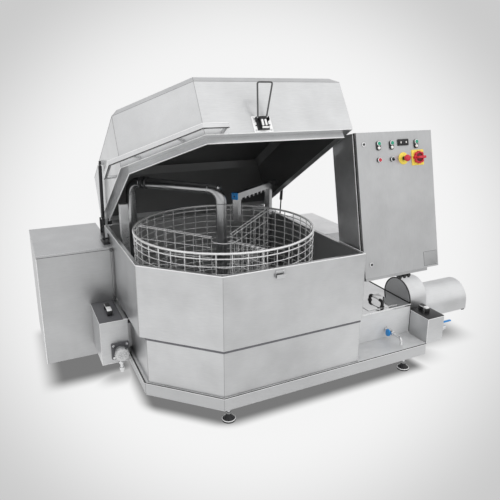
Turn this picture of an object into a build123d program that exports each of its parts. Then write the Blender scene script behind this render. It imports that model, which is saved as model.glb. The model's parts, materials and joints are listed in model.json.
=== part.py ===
from build123d import *
import math
import os

# Rotary basket parts washer: a five-sided wash tub on a low base, with a tilting hood,
# a turning wire basket, spray pipes, a pump under two hoods and a leaning control cabinet.
# Millimetres. The origin lies on the floor under the middle of the machine's outer box,
# X runs to the operator's right, Y to the back and Z up. The hood stands open.

# Plan sizes
tub_width = 1294.0
tub_depth = 1290.0
corner_cut = 372.0
side_tank_width = 472.0
side_tank_depth = 670.0
side_tank_setback = 1020.0
sump_width = 573.0
sump_setback = 192.0
pump_hood_length = 150.0
motor_hood_length = 405.0
keeper_reach = 20.0

# Heights above the floor
base_bottom = 95.0
base_top = 175.0
floor_top = 270.0
step_height = 465.0
rim_height = 900.0
deck_top = 388.0

# Sheet thicknesses
base_sheet = 4.0
tub_sheet = 3.0
cover_sheet = 2.0

# Flats on small turned pieces
fine_sides = 16
coarse_sides = 12
wire_sides = 8
bend_steps = 3

# Clearances
run_gap = 0.05
lift_gap = 0.3
door_gap = 0.5
seal_gap = 2.0
pivot_gap = 0.3
panel_gap = 0.2

# Places that follow from the plan sizes
machine_length = side_tank_width + tub_width + sump_width + pump_hood_length + motor_hood_length
machine_depth = keeper_reach + side_tank_setback + side_tank_depth
tub_left = -machine_length / 2 + side_tank_width
tub_right = tub_left + tub_width
tub_front = -machine_depth / 2 + keeper_reach
tub_back = tub_front + tub_depth
axis_x = (tub_left + tub_right) / 2
axis_y = (tub_front + tub_back) / 2
sump_right = tub_right + sump_width
pump_hood_right = sump_right + pump_hood_length
motor_hood_right = pump_hood_right + motor_hood_length


def plan_corners(inset, left_inset, right_edge):
    """Corners of the tub's five-sided outline moved inwards, with its own right edge."""
    cut = corner_cut + inset * math.sqrt(2)
    return [
        (tub_left + cut - inset, tub_front + inset),
        (right_edge, tub_front + inset),
        (right_edge, tub_back - inset),
        (tub_left + left_inset, tub_back - inset),
        (tub_left + left_inset, tub_front + cut - left_inset),
    ]


def tub_corners(inset):
    """The tub's outline moved inwards by the same amount on every side."""
    return plan_corners(inset, inset, tub_right - inset)


def prism(points, bottom, top, mode=Mode.ADD):
    """Upright prism over a plan outline."""
    with BuildSketch(Plane.XY.offset(bottom)) as outline:
        Polygon(*points)
    extrude(outline.sketch, amount=top - bottom, mode=mode)


def block(x_span, y_span, z_span, mode=Mode.ADD, plane=Plane.XY):
    """Box between two values on each axis of a plane."""
    with BuildSketch(plane.offset(z_span[0])) as outline:
        with Locations(((x_span[0] + x_span[1]) / 2, (y_span[0] + y_span[1]) / 2)):
            Rectangle(x_span[1] - x_span[0], y_span[1] - y_span[0])
    extrude(outline.sketch, amount=z_span[1] - z_span[0], mode=mode)


def drum(plane, centre, radius, span, mode=Mode.ADD):
    """Round bar along a plane's normal, between two offsets from that plane."""
    with BuildSketch(plane.offset(span[0])) as outline:
        with Locations(centre):
            Circle(radius)
    extrude(outline.sketch, amount=span[1] - span[0], mode=mode)


def facet_bar(plane, centre, radius, span, sides, mode=Mode.ADD):
    """Many-sided bar along a plane's normal, for small turned pieces."""
    with BuildSketch(plane.offset(span[0])) as outline:
        with Locations(centre):
            RegularPolygon(radius, sides)
    extrude(outline.sketch, amount=span[1] - span[0], mode=mode)


def eased(points, cut):
    """Path through points, each inner corner turned in a few straight steps."""
    stations = [Vector(point) for point in points]
    path = [stations[0]]
    for before, corner, after in zip(stations, stations[1:], stations[2:]):
        start = corner + (before - corner).normalized() * cut
        end = corner + (after - corner).normalized() * cut
        for step in range(bend_steps + 1):
            along = step / bend_steps
            path.append(start * (1 - along) ** 2 + corner * (2 * along * (1 - along)) + end * along ** 2)
    return [tuple(point) for point in path + [stations[-1]]]


def grown(span, amount):
    """A span made longer by an amount at both ends."""
    return (span[0] - amount, span[1] + amount)


parts = {}


def keep(name, builder):
    """Label a finished piece and hold it for writing."""
    builder.part.label = name
    parts[name] = builder.part


# Base: a folded skirt with a flange under the tub and a deck to the tub's right
skirt_lip = 2.0
skirt_left_inset = 16.0
skirt_right_inset = 15.0
skirt_top_flange = 60.0
skirt_foot_flange = 40.0
cross_web_offset = 90.0
base_right = sump_right - skirt_right_inset


def base_corners(inset):
    """The skirt's outline moved inwards."""
    return plan_corners(inset - skirt_lip, inset + skirt_left_inset, base_right - inset)


with BuildPart() as base_frame:
    prism(base_corners(0), base_bottom, base_top)
    prism(base_corners(base_sheet), base_bottom + base_sheet, base_top - base_sheet, Mode.SUBTRACT)
    prism(base_corners(skirt_foot_flange), base_bottom, base_bottom + base_sheet, Mode.SUBTRACT)
    under_tub = plan_corners(skirt_top_flange, skirt_left_inset + skirt_top_flange,
                             tub_right - skirt_top_flange)
    prism(under_tub, base_top - base_sheet, base_top, Mode.SUBTRACT)
    for web_y in (axis_y - cross_web_offset, axis_y + cross_web_offset):
        block((tub_left + skirt_left_inset + base_sheet, base_right - base_sheet),
              (web_y - base_sheet / 2, web_y + base_sheet / 2),
              (base_bottom + base_sheet, base_top - base_sheet))
keep("base_frame", base_frame)

# Levelling feet: round pad with a sloped top, and a stem up to the base
foot_radius = 40.0
foot_pad_height = 9.0
foot_cone_height = 26.0
foot_slope = 60.0
stem_radius = 8.0
foot_inset = 42.0
foot_right_inset = 149.0
foot_spots = [
    (tub_left + corner_cut + foot_inset, tub_front + foot_inset),
    (base_right - foot_right_inset, tub_front + foot_inset),
    (tub_left + skirt_left_inset + foot_inset, tub_back - foot_inset),
    (base_right - foot_right_inset, tub_back - foot_inset),
]
with BuildPart() as levelling_feet:
    for foot_spot in foot_spots:
        facet_bar(Plane.XY, foot_spot, foot_radius, (0, foot_pad_height), coarse_sides)
        facet_bar(Plane.XY, foot_spot, stem_radius, (foot_pad_height, base_bottom), wire_sides)
        with BuildSketch(Plane.XY.offset(foot_pad_height)):
            with Locations(foot_spot):
                RegularPolygon(foot_radius, coarse_sides)
        extrude(amount=foot_cone_height - foot_pad_height, taper=foot_slope)
keep("levelling_feet", levelling_feet)

# Lower tub: walls down to the base, with the port to the sump
lower_inset = 6.0
lower_left_inset = 34.0
shaft_hole_radius = 36.0
port_setback = 260.0
port_centre_y = sump_setback + port_setback
port_width = 240.0
port_bottom = floor_top + 15.0
port_height = 60.0
sump_left = tub_right - lower_inset
sump_front = tub_front + sump_setback
port_y_span = (tub_front + port_centre_y - port_width / 2, tub_front + port_centre_y + port_width / 2)
port_z_span = (port_bottom, port_bottom + port_height)


def lower_corners(inset):
    """The lower tub's outline moved inwards."""
    return plan_corners(lower_inset + inset, lower_left_inset + inset, tub_right - lower_inset - inset)


with BuildPart() as lower_tub:
    prism(lower_corners(0), base_top, step_height)
    prism(lower_corners(tub_sheet), base_top, step_height, Mode.SUBTRACT)
    block((sump_left - tub_sheet, sump_left), port_y_span, port_z_span, Mode.SUBTRACT)
keep("lower_tub", lower_tub)

# Tub floor: a plate between the lower tub's walls, open for the drive shaft
with BuildPart() as tub_floor:
    prism(lower_corners(tub_sheet), floor_top - tub_sheet, floor_top)
    facet_bar(Plane.XY, (axis_x, axis_y), shaft_hole_radius, (floor_top - tub_sheet, floor_top), coarse_sides,
              Mode.SUBTRACT)
keep("tub_floor", tub_floor)

# Upper tub: walls, a ledge over the lower tub and an inward rim
rim_flange = 25.0
with BuildPart() as upper_tub:
    prism(tub_corners(0), step_height, rim_height)
    prism(tub_corners(tub_sheet), step_height + tub_sheet, rim_height - tub_sheet, Mode.SUBTRACT)
    prism(tub_corners(rim_flange), rim_height - tub_sheet, rim_height, Mode.SUBTRACT)
    prism(lower_corners(tub_sheet), step_height, step_height + tub_sheet, Mode.SUBTRACT)
keep("upper_tub", upper_tub)

# Sump tank to the right of the tub, open on top, with the tub's return port and the suction hole
pump_setback = 338.0
pump_y = tub_front + pump_setback
pump_z = 330.0
suction_radius = 28.0
sump_back = tub_back - lower_inset
deck_bottom = deck_top - tub_sheet
with BuildPart() as sump_tank:
    block((sump_left, sump_right), (sump_front, sump_back), (base_top, deck_bottom))
    block((sump_left + tub_sheet, sump_right - tub_sheet),
          (sump_front + tub_sheet, sump_back - tub_sheet),
          (base_top + tub_sheet, deck_bottom), Mode.SUBTRACT)
    block((sump_left, sump_left + tub_sheet), port_y_span, port_z_span, Mode.SUBTRACT)
    facet_bar(Plane.YZ, (pump_y, pump_z), suction_radius, (sump_right - tub_sheet, sump_right), coarse_sides,
              Mode.SUBTRACT)
keep("sump_tank", sump_tank)

# Deck over the sump, with a folded front lip, the strainer hatch's opening and the housing's opening
deck_lip_depth = 14.0
hatch_width = 250.0
hatch_depth = 210.0
hatch_overlap = 14.0
hatch_offset = 350.0
hatch_setback = 325.0
hatch_x = tub_right + hatch_offset
hatch_y = tub_front + hatch_setback
housing_width = 415.0
housing_setback = 700.0
housing_height = 424.0
housing_rest = 20.0
housing_x_span = (tub_right, tub_right + housing_width)
housing_y_span = (tub_front + housing_setback, sump_back)
hatch_x_span = (hatch_x - hatch_width / 2, hatch_x + hatch_width / 2)
hatch_y_span = (hatch_y - hatch_depth / 2, hatch_y + hatch_depth / 2)
with BuildPart() as sump_deck:
    block((sump_left, sump_right), (sump_front - tub_sheet, sump_back), (deck_bottom, deck_top))
    block((sump_left, sump_right), (sump_front - tub_sheet, sump_front),
          (deck_top - deck_lip_depth, deck_bottom))
    block(grown(hatch_x_span, -hatch_overlap), grown(hatch_y_span, -hatch_overlap),
          (deck_bottom, deck_top), Mode.SUBTRACT)
    block(grown(housing_x_span, -housing_rest), grown(housing_y_span, -housing_rest),
          (deck_bottom, deck_top), Mode.SUBTRACT)
keep("sump_deck", sump_deck)

# Strainer hatch: a lift-off plate with a locating rim below and a bow handle
hatch_rim_gap = 2.0
hatch_rim_depth = 18.0
bow_radius = 7.0
bow_length = 112.0
bow_height = 52.0
bow_bend = 20.0
hatch_bottom = deck_top + lift_gap
hatch_top = hatch_bottom + tub_sheet
with BuildPart() as strainer_hatch:
    block(hatch_x_span, hatch_y_span, (hatch_bottom, hatch_top))
    rim_inset = hatch_overlap + hatch_rim_gap
    block(grown(hatch_x_span, -rim_inset), grown(hatch_y_span, -rim_inset),
          (hatch_bottom - hatch_rim_depth, hatch_bottom))
    block(grown(hatch_x_span, -rim_inset - tub_sheet), grown(hatch_y_span, -rim_inset - tub_sheet),
          (hatch_bottom - hatch_rim_depth, hatch_bottom), Mode.SUBTRACT)
    with BuildLine(Plane((hatch_x, hatch_y, hatch_top), x_dir=(0, 1, 0), z_dir=(1, 0, 0))):
        Polyline(*eased([(-bow_length / 2, 0), (-bow_length / 2, bow_height), (bow_length / 2, bow_height),
                         (bow_length / 2, 0)], bow_bend))
    with BuildSketch(Plane.XY.offset(hatch_top)):
        with Locations((hatch_x, hatch_y - bow_length / 2)):
            RegularPolygon(bow_radius, wire_sides)
    sweep(transition=Transition.RIGHT)
keep("strainer_hatch", strainer_hatch)

# Housing behind the cabinet, open below, standing on the deck
with BuildPart() as extraction_housing:
    housing_top = deck_top + housing_height
    block(housing_x_span, housing_y_span, (deck_top, housing_top))
    block(grown(housing_x_span, -cover_sheet), grown(housing_y_span, -cover_sheet),
          (deck_top, housing_top - cover_sheet), Mode.SUBTRACT)
keep("extraction_housing", extraction_housing)

# Side tank on the tub's left wall, with its cover
side_tank_bottom = 69.0
side_tank_top = 820.0
tank_x_span = (tub_left - side_tank_width, tub_left)
tank_front = tub_front + side_tank_setback
tank_y_span = (tank_front, tank_front + side_tank_depth)
cover_bottom = side_tank_top - cover_sheet
with BuildPart() as side_tank:
    block(tank_x_span, tank_y_span, (side_tank_bottom, cover_bottom))
    block(grown(tank_x_span, -cover_sheet), grown(tank_y_span, -cover_sheet),
          (side_tank_bottom + cover_sheet, cover_bottom), Mode.SUBTRACT)
keep("side_tank", side_tank)

with BuildPart() as side_tank_cover:
    block(tank_x_span, tank_y_span, (cover_bottom, side_tank_top))
    lip_inset = cover_sheet + seal_gap
    block(grown(tank_x_span, -lip_inset), grown(tank_y_span, -lip_inset),
          (cover_bottom - deck_lip_depth, cover_bottom))
    block(grown(tank_x_span, -lip_inset - cover_sheet), grown(tank_y_span, -lip_inset - cover_sheet),
          (cover_bottom - deck_lip_depth, cover_bottom), Mode.SUBTRACT)
keep("side_tank_cover", side_tank_cover)

# Tie rod with end bosses in the corner between the side tank and the tub
rod_radius = 5.0
boss_radius = 11.0
boss_reach = 22.0
rod_bottom = 459.0
rod_top = 801.0
rod_x = tub_left - boss_radius - 1.0
with BuildPart() as tie_rod:
    facet_bar(Plane.XY, (rod_x, tank_front - boss_reach / 2), rod_radius, (rod_bottom, rod_top), wire_sides)
    for boss_z in (rod_bottom, rod_top):
        facet_bar(Plane.XZ, (rod_x, boss_z), boss_radius, (-tank_front, -tank_front + boss_reach),
                  coarse_sides)
keep("tie_rod", tie_rod)

# Drain box in front of the side tank, with a neck to the lower tub and a fixed strip beside its lid
box_sheet = 2.5
lid_plate = 4.0
drain_width = 172.0
drain_depth = 320.0
drain_bottom = 150.0
drain_top = 437.0
drain_offset = 4.0
neck_inset = 60.0
drain_x_span = (tub_left + drain_offset - drain_width, tub_left + drain_offset)
drain_y_span = (tank_front - drain_depth, tank_front)
drain_lid_x_span = (drain_x_span[0], rod_x - boss_radius - run_gap - lift_gap)
outlet_x = drain_x_span[0] + 114.0
outlet_z = 233.0
stub_radius = 30.0
stub_bore = 26.0
with BuildPart() as drain_box:
    block(drain_x_span, drain_y_span, (drain_bottom, drain_top))
    block((drain_x_span[1], tub_left + lower_left_inset), grown(drain_y_span, -neck_inset),
          (drain_bottom + neck_inset, drain_top - neck_inset))
    block(grown(drain_x_span, -box_sheet), grown(drain_y_span, -box_sheet),
          (drain_bottom + box_sheet, drain_top), Mode.SUBTRACT)
    block((drain_lid_x_span[1] + seal_gap, drain_x_span[1]), drain_y_span, (drain_top, drain_top + lid_plate))
    facet_bar(Plane.XZ, (outlet_x, outlet_z), stub_bore, (-drain_y_span[0] - box_sheet, -drain_y_span[0]),
              coarse_sides, Mode.SUBTRACT)
keep("drain_box", drain_box)

# Box lids: a plate with a locating rim and a bridge handle
lid_rim_depth = 12.0
handle_width = 26.0
handle_height = 42.0
handle_bar = 14.0


def box_lid(x_span, y_span, seat, handle_length):
    """Lift-off lid on a box's top edge, with a bridge handle along Y."""
    bottom = seat + lift_gap
    top = bottom + lid_plate
    inset = box_sheet + seal_gap
    mid_x = (x_span[0] + x_span[1]) / 2
    mid_y = (y_span[0] + y_span[1]) / 2
    bar_x = (mid_x - handle_width / 2, mid_x + handle_width / 2)
    bar_y = (mid_y - handle_length / 2, mid_y + handle_length / 2)
    block(x_span, y_span, (bottom, top))
    block(grown(x_span, -inset), grown(y_span, -inset), (bottom - lid_rim_depth, bottom))
    block(grown(x_span, -inset - box_sheet), grown(y_span, -inset - box_sheet),
          (bottom - lid_rim_depth, bottom), Mode.SUBTRACT)
    block(bar_x, bar_y, (top, top + handle_height))
    block(bar_x, grown(bar_y, -handle_bar), (top, top + handle_height - handle_bar), Mode.SUBTRACT)


drain_handle_length = 170.0
with BuildPart() as drain_box_lid:
    box_lid(drain_lid_x_span, drain_y_span, drain_top, drain_handle_length)
keep("drain_box_lid", drain_box_lid)

# Drain outlet: square flange, stub and a small tap below
flange_size = 110.0
flange_thickness = 8.0
stub_length = 62.0
tap_radius = 10.0
tap_drop = 105.0
tap_knob_radius = 15.0
tap_knob_height = 14.0
outlet_y = drain_y_span[0]
with BuildPart() as drain_outlet:
    block((outlet_x - flange_size / 2, outlet_x + flange_size / 2),
          (outlet_z - flange_size / 2, outlet_z + flange_size / 2),
          (-outlet_y, -outlet_y + flange_thickness), plane=Plane.XZ)
    facet_bar(Plane.XZ, (outlet_x, outlet_z), stub_radius, (-outlet_y, -outlet_y + stub_length), fine_sides)
    tap_y = outlet_y - flange_thickness - tap_knob_radius
    facet_bar(Plane.XY, (outlet_x, tap_y), tap_radius, (outlet_z - tap_drop, outlet_z - stub_radius / 2),
              wire_sides)
    facet_bar(Plane.XY, (outlet_x, tap_y), tap_knob_radius,
              (outlet_z - tap_drop + tap_knob_height, outlet_z - tap_drop + 2 * tap_knob_height), wire_sides)
    facet_bar(Plane.XZ, (outlet_x, outlet_z), stub_bore, (-outlet_y, -outlet_y + stub_length), coarse_sides,
              Mode.SUBTRACT)
keep("drain_outlet", drain_outlet)

# Drain cap: lobed cap that turns on the stub
cap_radius = 46.0
cap_length = 32.0
cap_cover = 18.0
cap_lobes = 8
cap_notch = 6.0
cap_gap = 0.08
with BuildPart() as drain_cap:
    cap_start = -outlet_y + stub_length - cap_cover
    with BuildSketch(Plane.XZ.offset(cap_start)):
        with Locations((outlet_x, outlet_z)):
            RegularPolygon(cap_radius, 2 * cap_lobes)
            with PolarLocations(cap_radius, cap_lobes):
                Rectangle(2 * cap_notch, cap_notch, mode=Mode.SUBTRACT)
    extrude(amount=cap_length)
    drum(Plane.XZ, (outlet_x, outlet_z), stub_radius + cap_gap,
         (cap_start, -outlet_y + stub_length + lift_gap), Mode.SUBTRACT)
keep("drain_cap", drain_cap)

# Filter box at the base's right end, held by an ear on the sump's right wall
filter_width = 142.0
filter_front = 12.0
filter_bottom = 165.0
filter_top = 343.0
ear_reach = 6.0
ear_inset = 25.0
filter_x_span = (sump_right, sump_right + filter_width)
filter_y_span = (tub_front + filter_front, sump_front - seal_gap - tub_sheet)
valve_y = (filter_y_span[0] + filter_y_span[1]) / 2
valve_z = 196.0
nipple_radius = 13.0
with BuildPart() as filter_box:
    block(filter_x_span, filter_y_span, (filter_bottom, filter_top))
    block((filter_x_span[0], filter_x_span[0] + box_sheet), (filter_y_span[1], sump_front + ear_reach),
          (filter_bottom + ear_inset, filter_top - ear_inset))
    block(grown(filter_x_span, -box_sheet), grown(filter_y_span, -box_sheet),
          (filter_bottom + box_sheet, filter_top), Mode.SUBTRACT)
    facet_bar(Plane.YZ, (valve_y, valve_z), nipple_radius, (filter_x_span[1] - box_sheet, filter_x_span[1]),
              wire_sides, Mode.SUBTRACT)
keep("filter_box", filter_box)

filter_handle_length = 110.0
with BuildPart() as filter_box_lid:
    box_lid(filter_x_span, filter_y_span, filter_top, filter_handle_length)
keep("filter_box_lid", filter_box_lid)

# Ball valve on the filter box: nipple, body, outlet nut and stem
valve_nipple = 32.0
valve_body_length = 46.0
valve_body_radius = 21.0
valve_outlet_length = 32.0
valve_stem_radius = 7.0
valve_stem_height = 46.0
lever_thickness = 6.0
valve_start = filter_x_span[1]
body_span = (valve_start + valve_nipple, valve_start + valve_nipple + valve_body_length)
stem_x = (body_span[0] + body_span[1]) / 2
with BuildPart() as filter_valve:
    facet_bar(Plane.YZ, (valve_y, valve_z), nipple_radius,
              (valve_start, body_span[1] + valve_outlet_length), coarse_sides)
    facet_bar(Plane.YZ, (valve_y, valve_z), valve_body_radius, body_span, wire_sides)
    facet_bar(Plane.XY, (stem_x, valve_y), valve_stem_radius, (valve_z, valve_z + valve_stem_height), coarse_sides)
keep("filter_valve", filter_valve)

lever_length = 108.0
lever_width = 18.0
lever_hub_radius = 14.0
with BuildPart() as filter_valve_lever:
    lever_bottom = valve_z + valve_stem_height - lever_thickness
    with BuildSketch(Plane.XY.offset(lever_bottom)):
        with Locations((stem_x, valve_y)):
            RegularPolygon(lever_hub_radius, wire_sides)
        with Locations((stem_x + lever_length / 2, valve_y)):
            Rectangle(lever_length, lever_width)
        with Locations((stem_x, valve_y)):
            Circle(valve_stem_radius + run_gap, mode=Mode.SUBTRACT)
    extrude(amount=lever_thickness)
keep("filter_valve_lever", filter_valve_lever)

# Tap on the sump's front wall: nipple, body and a spout bent down
tap_offset = 366.0
tap_x = tub_right + tap_offset
tap_z = 239.0
tap_nipple_length = 26.0
tap_body_length = 50.0
tap_body_radius = 19.0
spout_radius = 10.0
spout_reach = 160.0
spout_drop = 42.0
spout_bend = 24.0
tap_stem_length = 14.0
with BuildPart() as sump_tap:
    facet_bar(Plane.XZ, (tap_x, tap_z), spout_radius, (-sump_front, -sump_front + tap_nipple_length),
              wire_sides)
    tap_body_span = (-sump_front + tap_nipple_length, -sump_front + tap_nipple_length + tap_body_length)
    facet_bar(Plane.XZ, (tap_x, tap_z), tap_body_radius, tap_body_span, wire_sides)
    tap_stem_y = -(tap_body_span[0] + tap_body_span[1]) / 2
    facet_bar(Plane.YZ, (tap_stem_y, tap_z), valve_stem_radius,
              (tap_x - tap_body_radius - tap_stem_length, tap_x), coarse_sides)
    with BuildLine(Plane((tap_x, 0, 0), x_dir=(0, 1, 0), z_dir=(1, 0, 0))):
        Polyline(*eased([(-tap_body_span[1], tap_z), (sump_front - spout_reach, tap_z),
                         (sump_front - spout_reach, tap_z - spout_drop)], spout_bend))
    with BuildSketch(Plane.XZ.offset(tap_body_span[1])):
        with Locations((tap_x, tap_z)):
            RegularPolygon(spout_radius, wire_sides)
    sweep(transition=Transition.RIGHT)
keep("sump_tap", sump_tap)

butterfly_length = 62.0
butterfly_width = 24.0
with BuildPart() as sump_tap_lever:
    lever_end = tap_x - tap_body_radius - tap_stem_length
    with BuildSketch(Plane.YZ.offset(lever_end)):
        with Locations((tap_stem_y, tap_z)):
            Rectangle(butterfly_width, butterfly_length)
            Circle(valve_stem_radius + run_gap, mode=Mode.SUBTRACT)
    extrude(amount=tap_stem_length - lift_gap)
keep("sump_tap_lever", sump_tap_lever)

# Pump and motor in line along X on the sump's right wall
pump_flange_radius = 56.0
pump_flange_length = 12.0
casing_radius = 82.0
casing_length = 80.0
motor_radius = 60.0
motor_length = 300.0
casing_start = sump_right + pump_flange_length
motor_start = casing_start + casing_length
with BuildPart() as pump_unit:
    facet_bar(Plane.YZ, (pump_y, pump_z), pump_flange_radius, (sump_right, casing_start), fine_sides)
    facet_bar(Plane.YZ, (pump_y, pump_z), casing_radius, (casing_start, motor_start), fine_sides)
    facet_bar(Plane.YZ, (pump_y, pump_z), motor_radius, (motor_start, motor_start + motor_length), fine_sides)
    facet_bar(Plane.YZ, (pump_y, pump_z), suction_radius, (sump_right, motor_start - pump_flange_length),
              coarse_sides, Mode.SUBTRACT)
keep("pump_unit", pump_unit)

# Pump and motor hoods: inverted troughs open below
hood_radius = 138.0
hood_bottom = 243.0
motor_hood_drop = 88.0
motor_hole_half = 66.0


def trough(crown_z, radius, x_span, mode=Mode.ADD):
    """Round-topped trough section along X with upright sides."""
    with BuildSketch(Plane.YZ.offset(x_span[0])) as outline:
        with Locations((pump_y, crown_z)):
            Circle(radius)
        with Locations((pump_y, (crown_z + hood_bottom) / 2)):
            Rectangle(2 * radius, crown_z - hood_bottom)
        with Locations((pump_y, hood_bottom - radius)):
            Rectangle(2 * radius, 2 * radius, mode=Mode.SUBTRACT)
    extrude(outline.sketch, amount=x_span[1] - x_span[0], mode=mode)


with BuildPart() as pump_hood:
    trough(deck_top, hood_radius, (sump_right, pump_hood_right))
    trough(deck_top, hood_radius - cover_sheet, (sump_right + cover_sheet, pump_hood_right - cover_sheet),
           Mode.SUBTRACT)
    block((sump_right, sump_right + cover_sheet), (pump_y - hood_radius + cover_sheet,
          pump_y + hood_radius - cover_sheet), (hood_bottom, deck_top), Mode.SUBTRACT)
    block((pump_hood_right - cover_sheet, pump_hood_right),
          (pump_y - motor_hole_half, pump_y + motor_hole_half), (hood_bottom, pump_z + motor_hole_half),
          Mode.SUBTRACT)
keep("pump_hood", pump_hood)

with BuildPart() as motor_hood:
    motor_crown = deck_top - motor_hood_drop
    trough(motor_crown, hood_radius, (pump_hood_right, motor_hood_right))
    trough(motor_crown, hood_radius - cover_sheet, (pump_hood_right, motor_hood_right - cover_sheet),
           Mode.SUBTRACT)
keep("motor_hood", motor_hood)

# Gear motor under the tub floor
gearbox_size = 150.0
gearbox_height = 105.0
gear_motor_radius = 48.0
gear_motor_length = 250.0
turn_shaft_radius = 20.0
gearbox_top = floor_top - tub_sheet
with BuildPart() as gear_motor:
    block((axis_x - gearbox_size / 2, axis_x + gearbox_size / 2),
          (axis_y - gearbox_size / 2, axis_y + gearbox_size / 2),
          (gearbox_top - gearbox_height, gearbox_top))
    facet_bar(Plane.YZ, (axis_y, gearbox_top - gearbox_height / 2), gear_motor_radius,
              (axis_x + gearbox_size / 2, axis_x + gearbox_size / 2 + gear_motor_length), fine_sides)
    drum(Plane.XY, (axis_x, axis_y), turn_shaft_radius + run_gap,
         (gearbox_top - gearbox_height, gearbox_top), Mode.SUBTRACT)
keep("gear_motor", gear_motor)

# Turntable: shaft, hub and three arms that carry the basket
basket_radius = 574.0
basket_floor_z = 556.0
basket_top = 992.0
wire = 6.0
hub_radius = 70.0
arm_width = 46.0
arm_height = 30.0
arm_count = 3
divider_angle = 33.0
arm_top = basket_floor_z - wire
with BuildPart() as turntable:
    facet_bar(Plane.XY, (axis_x, axis_y), turn_shaft_radius, (gearbox_top - gearbox_height, arm_top - arm_height),
              coarse_sides)
    facet_bar(Plane.XY, (axis_x, axis_y), hub_radius, (arm_top - 2 * arm_height, arm_top), fine_sides)
    with BuildSketch(Plane((axis_x, axis_y, arm_top - arm_height))):
        with PolarLocations(basket_radius / 2, arm_count, start_angle=divider_angle):
            Rectangle(basket_radius, arm_width)
    extrude(amount=arm_height)
keep("turntable", turntable)

# Basket wall: a ring of flat wire panels, each with its uprights and hoop lengths
panel_count = 18
hoop_rows = 2
rim_hoop = 12.0
rim_row = 30.0
panel_turn = 360.0 / panel_count
panel_reach = basket_radius - wire / 2
panel_width = 2 * panel_reach * math.tan(math.radians(panel_turn / 2)) - panel_gap
rim_row_bottom = basket_top - rim_hoop - rim_row
hoop_pitch = (rim_row_bottom - basket_floor_z) / hoop_rows
window_spans = [(basket_floor_z + row * hoop_pitch + wire, basket_floor_z + (row + 1) * hoop_pitch)
                for row in range(hoop_rows)]
window_spans[-1] = (window_spans[-1][0], rim_row_bottom - wire)
window_spans.append((rim_row_bottom, rim_row_bottom + rim_row))
with BuildPart() as basket_wall:
    for panel in range(panel_count):
        turn = math.radians(panel * panel_turn)
        outward = Vector(math.cos(turn), math.sin(turn), 0)
        panel_plane = Plane(Vector(axis_x, axis_y, 0) + outward * panel_reach,
                            x_dir=(-math.sin(turn), math.cos(turn), 0), z_dir=tuple(outward))
        with BuildSketch(panel_plane):
            with Locations((0, (basket_floor_z + basket_top) / 2)):
                Rectangle(panel_width, basket_top - basket_floor_z)
            for low, high in window_spans:
                with Locations((0, (low + high) / 2)):
                    Rectangle(panel_width - wire, high - low, mode=Mode.SUBTRACT)
        extrude(amount=wire)
keep("basket_wall", basket_wall)

# Basket floor: rings and spokes of wire in one flat net with an open core
core_radius = 85.0
floor_spokes = 9
floor_rings = 2
ring_pitch = (basket_radius - core_radius) / floor_rings
with BuildPart() as basket_floor:
    with BuildSketch(Plane((axis_x, axis_y, basket_floor_z - wire))):
        for ring in range(floor_rings + 1):
            ring_radius = basket_radius - ring * ring_pitch
            RegularPolygon(ring_radius + wire / 2, panel_count, rotation=panel_turn / 2, major_radius=False)
            RegularPolygon(ring_radius - wire / 2, panel_count, rotation=panel_turn / 2, major_radius=False,
                           mode=Mode.SUBTRACT)
        for ring in range(floor_rings):
            with PolarLocations(basket_radius - (ring + 0.5) * ring_pitch, floor_spokes,
                                start_angle=divider_angle):
                Rectangle(ring_pitch, wire)
    extrude(amount=wire)
keep("basket_floor", basket_floor)

# Basket dividers: three flat wire frames whose top wires fall towards the core
divider_drop = 76.0
divider_gap = 8.0
divider_columns = 3
divider_rows = 3
divider_start = core_radius
divider_end = basket_radius - rim_hoop / 2 - divider_gap
column_pitch = (divider_end - divider_start) / divider_columns
divider_top = basket_top - rim_hoop


def divider_height(reach):
    """Height of a divider's top wire at a distance from the axis."""
    return divider_top - divider_drop * (divider_end - reach) / (divider_end - divider_start)


with BuildPart() as basket_dividers:
    for arm in range(arm_count):
        turn = math.radians(divider_angle + arm * 360 / arm_count)
        outward = (math.cos(turn), math.sin(turn), 0)
        across = (math.sin(turn), -math.cos(turn), 0)
        with BuildSketch(Plane((axis_x, axis_y, 0), x_dir=outward, z_dir=across).offset(-wire / 2)):
            Polygon((divider_start, basket_floor_z), (divider_end, basket_floor_z),
                    (divider_end, divider_height(divider_end)),
                    (divider_start, divider_height(divider_start)))
            for column in range(divider_columns):
                near = divider_start + column * column_pitch + wire / 2
                far = near + column_pitch - wire
                near_rise = divider_height(near) - basket_floor_z
                far_rise = divider_height(far) - basket_floor_z
                for row in range(divider_rows):
                    low = row / divider_rows
                    high = (row + 1) / divider_rows
                    Polygon((near, basket_floor_z + near_rise * low + wire),
                            (far, basket_floor_z + far_rise * low + wire),
                            (far, basket_floor_z + far_rise * high - wire),
                            (near, basket_floor_z + near_rise * high - wire), mode=Mode.SUBTRACT)
        extrude(amount=wire)
keep("basket_dividers", basket_dividers)

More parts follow.
